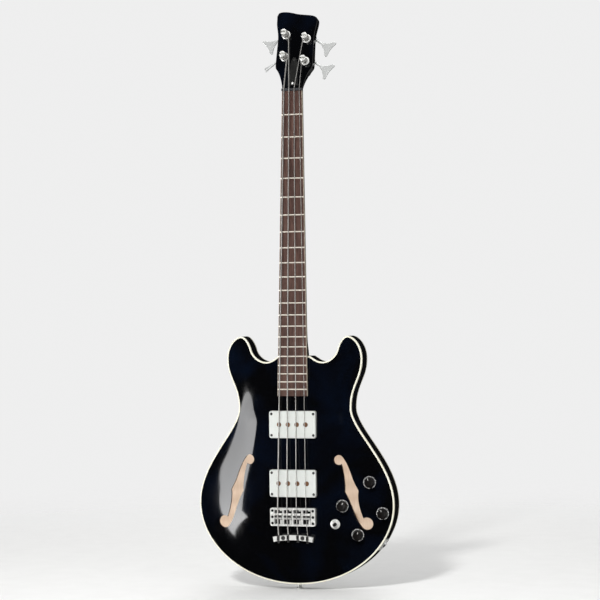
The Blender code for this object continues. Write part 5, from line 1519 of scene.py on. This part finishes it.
def plate_parts(index):
    hand = HANDS[index]
    high = -HEAD_THICKNESS
    low = -HEAD_THICKNESS - GAP - TUNER_PLATE
    outer = EAR_AT + EAR + 0.0006
    reach = WORM_CENTRES + WORM_TIP + 0.001
    outline = [(-outer, hand * reach)]
    for step in range(25):
        angle = math.pi + hand * math.pi * step / 24
        outline.append((outer * math.cos(angle), outer * math.sin(angle)))
    outline.append((outer, hand * reach))
    joins = []
    for sign in (-1, 1):
        x = sign * (EAR_AT + EAR / 2)
        bottom = worm_level() - SHAFT_RADIUS - EAR_MARGIN
        root = low + TUNER_PLATE * 2 / 3
        middle = worm_level()
        joins.append(box(EAR, 2 * (SHAFT_RADIUS + EAR_MARGIN), root - middle,
                         (x, hand * WORM_CENTRES, (middle + root) / 2)))
        round_end = rod(SHAFT_RADIUS + EAR_MARGIN, -EAR / 2 + 0.00002, EAR / 2 - 0.00002, 32)
        round_end.transform(shift(x, hand * WORM_CENTRES, worm_level()) @ turn(math.pi / 2, "Y"))
        joins.append(round_end)
    cuts = []
    for sign, radius in ((-1, STUB_RADIUS), (1, SHAFT_RADIUS)):
        x = sign * (EAR_AT + EAR / 2)
        bore = rod(radius + CLEARANCE, -EAR, EAR, 28)
        bore.transform(shift(x, hand * WORM_CENTRES, worm_level()) @ turn(math.pi / 2, "Y"))
        cuts.append(bore)
    plate = carved(flat([outline], low, high), cuts, joins, bevel=0.0003)
    screw = screw_head(0.0016, 0.0009)
    over = turn(math.pi, "X")
    place = TUNERS[index]
    parts = [(plate, place, 0)]
    for sign in (-1, 1):
        spot = shift(sign * (outer - 0.0022), -hand * 0.0052, low)
        parts.append((screw, place @ spot @ over, 0))
    return parts


def build_tuners():
    for index in range(4):
        number = index + 1
        fine(f"tuner_post_{number}", post_parts(index), (NICKEL, ZINC), "chrome", f"post_{number}")
        fine(f"tuner_key_{number}", key_parts(index), (KEY_METAL,), "chrome", f"key_{number}")
        fine(f"tuner_plate_{number}", plate_parts(index), (CHROME,), "chrome")
        foot = GAP + FACEPLATE
        top = foot + GAP + BUSHING_THICKNESS
        bore = POST_RADIUS + 0.0002
        ring = turned((
            (bore, top - 0.0002), (bore + 0.0004, top), (BUSHING_RADIUS - 0.0026, top),
            (BUSHING_RADIUS - 0.0012, top - 0.0003), (BUSHING_RADIUS - 0.0003, top - 0.0010),
            (BUSHING_RADIUS, foot + 0.0006), (BUSHING_RADIUS, foot), (bore, foot),
        ), 48)
        fine(f"tuner_bushing_{number}", [(ring, TUNERS[index])], (NICKEL,), "chrome")


# Strings

def tail_middle(x):
    bow_radius = ((TAIL_LENGTH / 2) ** 2 + TAIL_BOW ** 2) / (2 * TAIL_BOW)
    return TAIL_UP + math.sqrt(bow_radius ** 2 - x * x) - bow_radius


def saddle_point(index):
    x = string_x(index, BRIDGE_SPACING)
    return Vector((x, SADDLE_UP, STRING_OUT - camber(x)))


def winding(index):
    """Where a string meets its post: angle, sense of turning, radius and first level, in the head's frame."""
    radius = STRING_RADII[index]
    nut_x = string_x(index, NUT_SPACING)
    last = Vector((nut_x, NUT_THICKNESS, NUT_LIFT - camber(nut_x) - 0.0002))
    start = HEAD_IN_NECK.inverted() @ last
    post = Vector(POSTS[index])
    inner = 1.0 if post.x < 0.0 else -1.0
    coil = POST_RADIUS + GAP + radius
    aim = post - start.xy
    angle = math.atan2(aim.y, aim.x) - inner * math.asin(coil / aim.length)
    return angle - inner * math.pi / 2, inner, coil, FACEPLATE + 2 * GAP + BUSHING_THICKNESS + radius + 0.001




def string_end(index):
    meet, inner, _, _ = winding(index)
    return meet + inner * 2 * math.pi * WRAPS


def build_strings():
    loop_points = 48
    for index in range(4):
        radius = STRING_RADII[index]
        tail_x = string_x(index, TAIL_SPACING)
        nut_x = string_x(index, NUT_SPACING)
        ball_top = tail_middle(tail_x) - TAIL_WIDTH / 2 - GAP
        over = saddle_point(index)
        behind = Vector((tail_x, ball_top + TAIL_WIDTH + 0.001, TAIL_STRING_OUT))
        nut_front = NECK_IN_BODY @ Vector((nut_x, 0.0, NUT_LIFT - camber(nut_x)))
        nut_back = NECK_IN_BODY @ Vector((nut_x, NUT_THICKNESS, NUT_LIFT - camber(nut_x) - 0.0002))
        points = [Vector((tail_x, ball_top - 0.0002, TAIL_STRING_OUT)), behind,
                  behind.lerp(over, 0.5), over + (behind - over).normalized() * 0.0012,
                  over + (nut_front - over).normalized() * 0.0008]
        for share in np.linspace(0.02, 0.98, 24):
            points.append(over.lerp(nut_front, float(share)))
        points += [nut_front, nut_back]
        meet, inner, coil, level = winding(index)
        pitch = 2 * radius + WRAP_GAP
        steps = round(WRAPS * loop_points)
        head = NECK_IN_BODY @ HEAD_IN_NECK
        wraps = []
        post = POSTS[index]
        for step in range(steps + 1):
            share = step / loop_points
            at = meet + inner * 2 * math.pi * share
            wraps.append(head @ Vector((post[0] + coil * math.cos(at), post[1] + coil * math.sin(at),
                                        level + pitch * share)))
        tube = wire(points + wraps, radius)
        ball = turned([
            (0.0, -BALL_LENGTH), (BALL_RADIUS * 0.8, -BALL_LENGTH), (BALL_RADIUS, -BALL_LENGTH + 0.0007),
            (BALL_RADIUS * 0.72, -BALL_LENGTH * 0.5), (BALL_RADIUS, -0.0007), (BALL_RADIUS * 0.8, 0.0),
            (0.0, 0.0),
        ], 28)
        place = BODY @ shift(tail_x, ball_top, TAIL_STRING_OUT) @ turn(-math.pi / 2, "X")
        # A dark wrap over the string's end, as a silk wrap; it also paints the shade of the tailpiece slot on
        # the string.
        silk_and_slot_shade = wire([points[0], points[0].lerp(behind, 0.5), behind.lerp(over, 0.03)], radius + 0.00015)
        piece(f"string_{index + 1}_wound", [(tube, BODY, 0), (ball, place, 1), (silk_and_slot_shade, BODY, 1)],
              (WOUND, ROLLER),
              (f"string_{index + 1}",))


# Bridge and tailpiece

def bridge_base_level():
    return top_out(0.0, SADDLE_UP + BRIDGE_SHIFT) + GAP


def saddle_mesh(index):
    crossing = saddle_point(index)
    radius = STRING_RADII[index]
    low = bridge_base_level() + BRIDGE_FLOOR + GAP - crossing.z
    shoulder = -radius - SADDLE_SHOULDER
    crest = -radius * 0.4
    half = SADDLE_LENGTH / 2
    outline = [(-half, low), (half, low), (half, shoulder), (0.0013, crest), (-0.0004, crest),
               (-half, shoulder)]
    block = flat([outline], -SADDLE_WIDTH / 2, SADDLE_WIDTH / 2)
    block.transform(turn(math.pi / 2, "Z") @ turn(math.pi / 2, "X"))
    groove = rod(radius + CLEARANCE, -SADDLE_LENGTH, SADDLE_LENGTH, 20)
    slope = (STRING_OUT - TAIL_STRING_OUT) / (SADDLE_UP - TAIL_UP - TAIL_WIDTH / 2)
    level = groove.copy()
    level.transform(shift(y=SADDLE_LENGTH * 0.9) @ turn(math.pi / 2, "X"))
    down = rod(radius + CLEARANCE, 0.0, SADDLE_LENGTH, 20)
    down.transform(turn(math.pi / 2 + math.atan(slope), "X"))
    hole = rod(SADDLE_SCREW + CLEARANCE, -SADDLE_LENGTH, SADDLE_LENGTH, 20)
    hole.transform(shift(z=SADDLE_SCREW_OUT - crossing.z) @ turn(math.pi / 2, "X"))
    channel = box(SADDLE_WIDTH * 1.2, 0.0048, 0.0056, (0.0, 0.0, -radius))
    well = box(0.0030, 0.0026, 0.0060, (-0.0045, 0.0044, -radius - SADDLE_SHOULDER))
    return carved(block, [level, down, hole, channel, well], bevel=0.00035)


def saddle_roller(index):
    """The dark roller across a saddle, waisted under the string that it carries."""
    radius = STRING_RADII[index]
    thick, half = 0.0015, SADDLE_WIDTH / 2 - 0.0004
    waist = thick - 0.35 * radius
    centre = -radius - waist - 0.00005
    profile = [(0.0, half), (thick - 0.0002, half), (thick, half - 0.0002), (thick, radius * 1.2),
               (waist, radius * 0.5),
               (waist, -radius * 0.5), (thick, -radius * 1.2), (thick, -half + 0.0002), (thick - 0.0002, -half),
               (0.0, -half)]
    mesh = turned(profile, 28)
    mesh.transform(shift(z=centre) @ turn(math.pi / 2, "Y"))
    return mesh


def threaded(radius, low, high, pitch=0.0007):
    """A threaded rod along z."""
    profile = [(0.0, high), (radius * 0.8, high)]
    count = int((high - low) / pitch)
    for step in range(count):
        top = high - step * pitch
        profile += [(radius * 0.86, top - pitch * 0.05), (radius, top - pitch * 0.45),
                    (radius, top - pitch * 0.55),
                    (radius * 0.86, top - pitch * 0.95)]
    profile += [(radius * 0.8, low), (0.0, low)]
    return turned(profile, 18)


def build_bridge():
    low = bridge_base_level()
    high = low + BRIDGE_HEIGHT
    middle = SADDLE_UP + BRIDGE_SHIFT
    place = BODY @ shift(0.0, middle, 0.0)
    frame_mesh = flat([rounded_rectangle(BRIDGE_WIDTH, BRIDGE_LENGTH, BRIDGE_CORNER)], low, high)
    cuts = []
    for index in range(4):
        x = string_x(index, BRIDGE_SPACING)
        cuts.append(box(BAY_WIDTH, BAY_LENGTH, high, (x, 0.0, low + BRIDGE_FLOOR + high / 2)))
    spots = [shift(side * BRIDGE_HOLE_X, row * BRIDGE_HOLE_SPACING) for side in (-1, 1) for row in (-1, 0, 1)]
    for spot in spots:
        hole = rod(BRIDGE_HOLE, low - 0.001, high + 0.001, 28)
        hole.transform(spot)
        cuts.append(hole)
    body = carved(frame_mesh, cuts, bevel=0.0005)
    parts = [(body, place, 0)]
    for index in range(4):
        x = string_x(index, BRIDGE_SPACING)
        # A near-black sheet on each bay's floor: painted shade.
        dark = box(BAY_WIDTH - 0.0002, BAY_LENGTH - 0.0002, 0.00016, (x, 0.0, low + BRIDGE_FLOOR))
        parts.append((dark, place, 1))
        for side, up, length in RAILS:
            tall = BRIDGE_HEIGHT - BRIDGE_FLOOR - RAIL_DROP
            rail = box(RAIL_WIDTH, length, tall, (x + side, up, low + BRIDGE_FLOOR + tall / 2))
            parts.append((rail, place, 0))
    # Near-black rods inside the bridge's holes: painted shade in the holes.
    hole_shade = rod(BRIDGE_HOLE - CLEARANCE, low + 0.0002, high - 0.0009, 24)
    parts += [(hole_shade, place @ spot, 1) for spot in spots]
    head = screw_head(0.0026, 0.0016, crossed=False)
    for index in range(4):
        x = string_x(index, BRIDGE_SPACING)
        half = BAY_LENGTH / 2 + 0.0005
        along = place @ shift(x, 0.0, SADDLE_SCREW_OUT) @ turn(math.pi / 2, "X")
        parts.append((threaded(SADDLE_SCREW, -half, half), along, 2))
        lower_end = place @ shift(x, -BRIDGE_LENGTH / 2, SADDLE_SCREW_OUT) @ turn(math.pi / 2, "X")
        parts.append((head, lower_end @ turn(0.5 + index, "Z") @ shift(z=-0.0004), 0))
    piece("bridge_frame", parts, (NICKEL, PAINTED_SHADE, ROLLER), ("bridge_base",))
    for index in range(4):
        where = BODY @ Matrix.Translation(saddle_point(index))
        # A near-black sheet on the floor of the saddle's channel: painted shade under the roller.
        floor_shade = box(SADDLE_WIDTH - 0.0006, 0.0047, 0.0002, (0.0, 0.0, -STRING_RADII[index] - 0.0028))
        parts = [(saddle_mesh(index), where, 0), (saddle_roller(index), where, 1), (floor_shade, where, 2)]
        fine(f"saddle_{index + 1}", parts, (NICKEL, ROLLER, PAINTED_SHADE), "chrome", f"saddle_{index + 1}")


def build_tailpiece():
    count = 36
    xs = [between(-TAIL_LENGTH / 2, TAIL_LENGTH / 2, step / count) for step in range(count + 1)]
    upper = [(x, tail_middle(x) + TAIL_WIDTH / 2) for x in xs]
    lower = [(x * 0.97, tail_middle(x) - TAIL_WIDTH / 2) for x in reversed(xs)]
    high = TAIL_OUT + TAIL_FLOOR + TAIL_BLOCK
    cuts = []
    for index in range(4):
        x = string_x(index, TAIL_SPACING)
        cuts.append(box(TAIL_SLOT, 3 * TAIL_WIDTH, TAIL_BLOCK + 0.002,
                        (x, TAIL_UP, high - TAIL_BLOCK / 2 + 0.001)))
    y = tail_middle(TAIL_POST_X)
    for side in (-1, 1):
        bore = rod(TAIL_POST_RADIUS + GAP, TAIL_OUT - 0.001, high, 28)
        seat = rod(TAIL_POST_HEAD + GAP, high - TAIL_POST_HEAD_DEPTH, high + 0.001, 32)
        for cutter in (bore, seat):
            cutter.transform(shift(side * TAIL_POST_X, y))
        cuts += [bore, seat]
    bar = carved(flat([upper + lower], TAIL_OUT, high), cuts, bevel=0.0009, segments=3)
    parts = [(bar, BODY, 0)]
    for index in range(4):
        x = string_x(index, TAIL_SPACING)
        middle = tail_middle(x)
        # Near-black sheets on each slot's floor and side walls: painted shade.
        floor_shade = box(TAIL_SLOT - 0.0001, TAIL_WIDTH - 0.0016, 0.0002, (x, middle, TAIL_OUT + TAIL_FLOOR))
        parts.append((floor_shade, BODY, 1))
        for side in (-1, 1):
            wall_shade = box(0.0001, TAIL_WIDTH - 0.0022, TAIL_BLOCK - 0.0016,
                       (x + side * (TAIL_SLOT / 2), middle, TAIL_OUT + TAIL_FLOOR + TAIL_BLOCK / 2 - 0.0006))
            parts.append((wall_shade, BODY, 1))
    piece("tailpiece_bar", parts, (NICKEL, PAINTED_SHADE), ("tailpiece",))
    for side, name in ((-1, "bass"), (1, "treble")):
        ground = top_out(TAIL_POST_X, y + TAIL_POST_COLLAR)
        under = TAIL_OUT - GAP
        head, shank, collar = TAIL_POST_HEAD, TAIL_POST_RADIUS, TAIL_POST_COLLAR
        seat = high - TAIL_POST_HEAD_DEPTH + GAP
        rings = [(0.0, high), (head - 0.0004, high), (head, high - 0.0004), (head, seat), (shank, seat),
                 (shank, under), (collar - 0.0004, under), (collar, under - 0.0004)]
        level = under - 0.0008
        while level > ground + 0.0012:
            rings += [(collar, level), (collar - 0.0004, level - 0.0003), (collar, level - 0.0006)]
            level -= 0.0010
        rings += [(collar, ground + 0.0002), (collar - 0.0003, ground), (shank, ground),
                  (shank, ground - 0.004),
                  (0.0, ground - 0.004)]
        post = carved(turned(rings, 40), [box(0.012, 0.0012, 0.0024, (0.0, 0.0, high))])
        fine(f"tailpiece_post_{name}", [(post, BODY @ shift(side * TAIL_POST_X, y))], (ROLLER,), "chrome")


# Pickups

def build_pickups():
    screw = screw_head(0.0027, 0.0009, crossed=False)
    for index, name in enumerate(("neck", "bridge")):
        top = PICKUP_OUT[index]
        low = ROUT_FLOOR + GAP
        place = BODY @ shift(0.0, PICKUP_UP[index])
        outer = rounded_rectangle(PICKUP_WIDTH, PICKUP_LENGTH, PICKUP_CORNER)
        inner = rounded_rectangle(PICKUP_WIDTH - 2 * PICKUP_WALL, PICKUP_LENGTH - 2 * PICKUP_WALL,
                                  PICKUP_CORNER - PICKUP_WALL)
        shell = slab(outer, low, top, 0.0, 0.0014, 5)
        cuts = [flat([inner], low - 0.001, top - PICKUP_WALL)]
        for pole in range(4):
            hole = rod(POLE_RADIUS + 0.0002, top - 2 * PICKUP_WALL, top + 0.001, 36)
            hole.transform(shift(string_x(pole, POLE_SPACING[index])))
            cuts.append(hole)
        for x, y in CORNERS:
            sink = rod(PICKUP_SINK, top - 0.0007, top + 0.001, 28)
            sink.transform(shift(x * PICKUP_SCREWS[0], y * PICKUP_SCREWS[1]))
            cuts.append(sink)
        shell = weighted(carved(shell, cuts))
        fine(f"pickup_cover_{name}", [(shell, place)], (COVER,), "chrome")
        screws = []
        for x, y in CORNERS:
            spot = shift(x * PICKUP_SCREWS[0], y * PICKUP_SCREWS[1], top - 0.0005)
            screws.append((screw, place @ spot @ turn(0.4 + 1.1 * x + 0.5 * y, "Z")))
        piece(f"pickup_screws_{name}", screws, (ROLLER,))
        bobbin_top = top - PICKUP_WALL - GAP
        bobbin = slab(rounded_rectangle(COIL_WIDTH, COIL_LENGTH, COIL_LENGTH * 0.45), low, bobbin_top, 0.0008,
                      0.0008)
        parts = [(bobbin, place, 0)]
        for pole in range(4):
            core = turned(((0.0, top + 0.0001), (POLE_RADIUS - 0.0007, top + 0.0001),
                           (POLE_RADIUS, top - 0.0005),
                           (POLE_RADIUS, bobbin_top - 0.002), (0.0, bobbin_top - 0.002)), 36)
            slot = box(0.0066, 0.0010, 0.0012, (0.0, 0.0, top))
            slot.transform(turn(0.7 + pole * 0.9, "Z"))
            core = carved(core, [slot])
            parts.append((core, place @ shift(string_x(pole, POLE_SPACING[index])), 1))
        fine(f"pickup_coil_{name}", parts, (WINDING, COPPER), "coil")


# Controls

def numerals(radius, level, size, lean):
    """Plain numbers 0 to 10 round a knob's skirt, reading outwards."""
    parts = []
    for number in range(11):
        curve = bpy.data.curves.new("number", "FONT")
        curve.body = str(number)
        curve.size = size
        curve.align_x = "CENTER"
        curve.align_y = "CENTER"
        curve.extrude = 0.00004
        curve.offset = 0.00016
        mesh = evaluated(scratch(curve))
        bpy.data.curves.remove(curve)
        angle = math.radians(240 - KNOB_STEP * number)
        parts.append((mesh, turn(angle - math.pi / 2, "Z") @ shift(0.0, radius, level) @ lean))
    return parts


def build_controls():
    low, top = KNOB_LIFT, KNOB_LIFT + KNOB_HEIGHT
    bore = POT_SHAFT + CLEARANCE
    floor = POT_SHAFT_TOP + GAP
    profile = (
        (0.0, top - 0.0006), (0.0060, top - 0.0006), (0.0068, top - 0.0003), (0.0078, top),
        (0.0086, top - 0.0001),
        (0.0091, top - 0.0006), (0.0093, top - 0.0014), (0.0098, low + 0.0050), (0.0101, low + 0.0040),
        (0.0108, low + 0.0034), (KNOB_RADIUS - 0.0006, low + 0.0024), (KNOB_RADIUS - 0.0001, low + 0.0019),
        (KNOB_RADIUS, low + 0.0012), (KNOB_RADIUS - 0.0002, low), (bore, low), (bore, floor), (0.0, floor),
    )
    body = turned(profile, 64)
    slope = math.atan2(0.0010, 0.0018)
    ticks = []
    lean = turn(-slope, "X")
    for step in range(12):
        angle = math.radians(225 - KNOB_STEP * step)
        tick = box(0.00110, 0.0014, 0.00010)
        ticks.append((tick, turn(angle - math.pi / 2, "Z") @ shift(0.0, 0.0118, low + 0.00291) @ lean))
    pointer = box(0.0007, 0.0042, 0.0001)
    ticks.append((pointer, shift(0.0, 0.0066, top + 0.00003)))
    ticks += numerals(0.0117, low + 0.00297, 0.0027, lean)
    for index, place in enumerate(CONTROLS):
        number = index + 1
        spin = turn(KNOB_SPINS[index], "Z")
        parts = [(body, place, 0)]
        parts += [(mesh, place @ spin @ matrix, 1) for mesh, matrix in ticks]
        fine(f"knob_{number}", parts, (KNOB_BLACK, MARK_WHITE), "black_plastic", f"knob_{number}")
        washer = turned(((POT_BUSHING, 0.0012), (0.0078, 0.0012), (0.0082, 0.0009), (0.0082, 0.0002),
                         (POT_BUSHING, 0.0002)), 36)
        piece(f"pot_washer_{number}", [(washer, place)], (CHROME,))
    inner = SWITCH_BUSHING + CLEARANCE
    ring = turned((
        (inner, 0.0026), (SWITCH_RING - 0.0020, 0.0026), (SWITCH_RING - 0.0008, 0.0023),
        (SWITCH_RING - 0.0001, 0.0017),
        (SWITCH_RING, 0.0010), (SWITCH_RING - 0.0002, 0.0004), (inner, 0.0004),
    ), 56)
    fine("switch_ring", [(ring, TOGGLE)], (NICKEL,), "chrome")
    neck_top = 0.0030
    sleeve = turned(((SWITCH_BORE, neck_top + 0.0003), (SWITCH_BUSHING - 0.0006, neck_top + 0.0003),
                     (SWITCH_BUSHING, neck_top - 0.0002), (SWITCH_BUSHING, -0.004), (SWITCH_BORE, -0.004)), 40)
    piece("switch_sleeve", [(sleeve, TOGGLE)], (NICKEL,))
    ball = LEVER_BALL
    stalk = turned(((0.0, 0.0080), (0.0012, 0.0080), (0.0013, ball * 0.9), (0.0024, ball * 0.62),
                    (0.0031, ball * 0.3),
                    (ball, 0.0), (ball * 0.85, -ball * 0.5), (ball * 0.5, -ball * 0.85), (0.0, -ball)), 32)
    tip = turned(((0.0, LEVER_TOP), (0.0012, LEVER_TOP - 0.0001), (0.0022, LEVER_TOP - 0.0007),
                  (0.0029, LEVER_TOP - 0.0017), (0.0032, LEVER_TOP - 0.0030), (0.0032, LEVER_TOP - 0.0050),
                  (0.0028, LEVER_TOP - 0.0072), (0.0021, 0.0068), (0.0018, 0.0056), (0.0, 0.0056)), 36)
    lever = TOGGLE @ shift(z=SWITCH_PIVOT)
    fine("switch_lever", [(stalk, lever, 0), (tip, lever, 1)], (CHROME, KNOB_BLACK), "switch_metal",
         "switch_lever")


# Jack and strap buttons

def build_outlets():
    high = GAP + JACK_PLATE_THICKNESS
    hole = rod(JACK_BARREL + CLEARANCE, -0.001, 0.01, 36)
    plate = slab(rounded_rectangle(JACK_PLATE, JACK_PLATE, 0.005), 0.0, high, 0.0, 0.0008, 4)
    plate = weighted(carved(plate, [hole]))
    screw = screw_head(0.0019, 0.0010)
    parts = [(plate, JACK)]
    out = JACK_PLATE / 2 - JACK_SCREW_IN
    for x, y in CORNERS:
        parts.append((screw, JACK @ shift(x * out, y * out, high - 0.0001) @ turn(0.5 * x + 0.8 * y, "Z")))
    fine("jack_plate", parts, (NICKEL,), "chrome")
    nut_low = high
    hexagon = flat([circle(JACK_NUT, 6)], nut_low, nut_low + JACK_NUT_HEIGHT)
    bore = rod(JACK_BARREL - 0.0002, nut_low - 0.001, nut_low + 0.01, 32)
    hexagon = carved(hexagon, [bore], bevel=0.0003)
    barrel = turned((
        (JACK_BORE, nut_low + JACK_NUT_HEIGHT + 0.0002), (JACK_BARREL - 0.0004,
                                                          nut_low + JACK_NUT_HEIGHT + 0.0002),
        (JACK_BARREL, nut_low + JACK_NUT_HEIGHT - 0.0002), (JACK_BARREL, -JACK_LENGTH),
        (JACK_BORE, -JACK_LENGTH),
    ), 36)
    fine("jack_socket", [(hexagon, JACK), (barrel, JACK)], (CHROME,), "chrome")
    top = BUTTON_LENGTH
    profile = [(0.0, top), (BUTTON_FLANGE - 0.0011, top)]
    for step in range(1, 6):
        angle = math.pi * step / 6
        profile.append((BUTTON_FLANGE - 0.0011 + 0.0011 * math.sin(angle),
                        top - 0.0011 * (1 - math.cos(angle))))
    profile += [(BUTTON_FLANGE - 0.0014, top - 0.0026), (BUTTON_NECK + 0.0008, top - 0.0042),
                (BUTTON_NECK + 0.0001, top - 0.0058), (BUTTON_NECK + 0.0003, 0.0036),
                (BUTTON_FOOT - 0.0012, 0.0022),
                (BUTTON_FOOT - 0.0002, 0.0016), (BUTTON_FOOT, 0.0009), (BUTTON_FOOT, 0.0), (0.0, 0.0)]
    for name, place in (("end", END_BUTTON), ("upper", UPPER_BUTTON)):
        button = turned(profile, 44)
        recess = rod(0.0030, top - 0.0008, top + 0.001, 32)
        button = carved(button, [recess])
        head = screw_head(0.0027, 0.0008)
        parts = [(button, place), (head, place @ shift(z=top - 0.00085))]
        fine(f"strap_button_{name}", parts, (NICKEL,), "chrome")


# Carried-over solids

def dress_solids():
    dress = {"centre_block": MAPLE, "truss_rod": STEEL, "switch_body": HARD_BLACK}
    dress.update({f"potentiometer_{number}": ZINC for number in range(1, 5)})
    for name, material in dress.items():
        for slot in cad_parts[name].material_slots:
            slot.material = material


# Stage

def background(tree, out):
    """Pale to the eye and even to soft light; polish sees pale sides with a dark front, back and underside."""
    def add(kind, inputs=(), **settings):
        return add_node(tree, kind, inputs, **settings)

    place = add("ShaderNodeTexCoord").outputs["Generated"]

    def away_from(way, start, end):
        share = add("ShaderNodeVectorMath", {0: place, 1: way}, operation="DOT_PRODUCT").outputs["Value"]
        return add("ShaderNodeMapRange", {
            "Value": share, "From Min": start, "From Max": end, "To Min": 1.0, "To Max": 0.0,
        }, interpolation_type="SMOOTHSTEP").outputs["Result"]

    lit = away_from((-0.29, -0.957, 0.0), 0.30, 0.72)
    for share in (away_from((0.0, 1.0, 0.0), 0.72, 0.90), away_from((0.0, 0.0, -1.0), 0.10, 0.75)):
        lit = add("ShaderNodeMath", {0: lit, 1: share}, operation="MULTIPLY").outputs["Value"]
    strength = add("ShaderNodeMapRange", {"Value": lit, "To Min": 0.010, "To Max": 0.85}).outputs["Result"]
    white = (1.0, 1.0, 1.0, 1.0)
    room = add("ShaderNodeBackground", {"Color": white, "Strength": strength}).outputs[0]
    even = add("ShaderNodeBackground", {"Color": white, "Strength": 0.30}).outputs[0]
    pale = add("ShaderNodeBackground", {"Color": (0.86, 0.86, 0.86, 1.0), "Strength": 1.0}).outputs[0]
    rays = add("ShaderNodeLightPath").outputs
    shiny = add("ShaderNodeMixShader", {0: rays["Is Glossy Ray"], 1: even, 2: room}).outputs[0]
    seen = add("ShaderNodeMixShader", {0: rays["Is Camera Ray"], 1: shiny, 2: pale}).outputs[0]
    tree.links.new(seen, out.inputs["Surface"])


def area(name, place, aim_up, size, power, shiny):
    """A soft lamp aimed at a height on the instrument; only a shiny one shows in polish."""
    light = bpy.data.lights.new(name, "AREA")
    light.shape = "RECTANGLE"
    light.size, light.size_y = size
    light.energy = power
    obj = placed(name, light)
    away = Vector(place) - Vector((0.0, 0.0, aim_up))
    obj.location = place
    obj.rotation_euler = away.to_track_quat("Z", "Y").to_euler()
    obj.visible_glossy = shiny


def reflected_card():
    """A flat light card to the front left that shows only in polish, as one leaf of light on the top."""
    azimuth, elevation = CARD_WAY
    aim = Vector((math.sin(azimuth) * math.cos(elevation), -math.cos(azimuth) * math.cos(elevation),
                  math.sin(elevation)))
    centre = Vector(CARD_AIM) + aim * CARD_AWAY
    across = Vector((0.0, 0.0, 1.0)).cross(aim).normalized()
    upward = aim.cross(across)
    card = flat([CARD_OUTLINE], -0.001, 0.001)
    basis = Matrix((across, upward, aim)).transposed().to_4x4()
    card.transform(Matrix.Translation(centre) @ basis)
    obj = placed("light_card", card)
    material = bpy.data.materials.new("light_card")
    material.use_nodes = True
    tree = material.node_tree
    tree.nodes.clear()
    place = add_node(tree, "ShaderNodeTexCoord").outputs["Object"]
    height = add_node(tree, "ShaderNodeSeparateXYZ", {0: place}).outputs["Z"]
    strength = add_node(tree, "ShaderNodeMapRange", {
        "Value": height, "From Min": centre.z + CARD_FALL[0], "From Max": centre.z + CARD_FALL[1],
        "To Min": CARD_GLOW[0], "To Max": CARD_GLOW[1],
    }).outputs["Result"]
    glow = add_node(tree, "ShaderNodeEmission", {"Strength": strength})
    add_node(tree, "ShaderNodeOutputMaterial", {"Surface": glow.outputs[0]})
    card.materials.append(material)
    obj.visible_camera = False
    obj.visible_diffuse = False
    obj.visible_shadow = False
    obj.visible_transmission = False


def build_stage():
    world = bpy.data.worlds.new("studio")
    bpy.context.scene.world = world
    world.use_nodes = True
    world.node_tree.nodes.clear()
    out = world.node_tree.nodes.new("ShaderNodeOutputWorld")
    background(world.node_tree, out)
    bm = bmesh.new()
    bmesh.ops.create_circle(bm, cap_ends=True, segments=96, radius=FLOOR_RADIUS)
    floor = placed("studio_floor", mesh_from(bm))
    look = Look("pale_floor", Roughness=0.6)
    grain = look.noise(18.0, 4.0)
    look.set("Base Color", look.ramp(grain, (0.3, (0.80, 0.80, 0.79)), (0.7, (0.83, 0.83, 0.82))))
    away = look.add("ShaderNodeVectorMath", {0: look.place}, operation="LENGTH").outputs["Value"]
    fade = look.add("ShaderNodeMapRange", {"Value": away, "From Min": 0.5, "From Max": 2.6},
                    interpolation_type="SMOOTHSTEP").outputs["Result"]
    clear = look.add("ShaderNodeBsdfTransparent")
    blend = look.add("ShaderNodeMixShader", {0: fade, 1: look.shader.outputs[0], 2: clear.outputs[0]})
    look.tree.links.new(blend.outputs[0], look.tree.nodes["Material Output"].inputs["Surface"])
    floor.data.materials.append(look.material)
    floor.visible_glossy = False
    for lamp in LAMPS:
        area(*lamp)
    reflected_card()


def build_camera():
    """From the front and a little from the treble side, slightly rolled."""
    right = Vector((math.cos(CAMERA_AZIMUTH), math.sin(CAMERA_AZIMUTH), 0.0))
    back = Vector((math.sin(CAMERA_AZIMUTH), -math.cos(CAMERA_AZIMUTH), 0.0))
    place = back * CAMERA_AWAY + right * CAMERA_ASIDE + Vector((0.0, 0.0, CAMERA_UP))
    basis = Matrix((right, Vector((0.0, 0.0, 1.0)), back)).transposed().to_4x4()
    camera = bpy.data.cameras.new("camera")
    camera.sensor_width = 36.0
    camera.lens = CAMERA_LENS
    obj = placed("camera", camera)
    obj.matrix_world = Matrix.Translation(place) @ basis @ turn(-CAMERA_ROLL, "Z")
    bpy.context.scene.camera = obj


build_body()
build_neck()
build_board()
build_nut()
build_tuners()
build_strings()
build_bridge()
build_tailpiece()
build_pickups()
build_controls()
build_outlets()
dress_solids()
build_stage()
build_camera()
bpy.context.scene.view_settings.view_transform = "Standard"
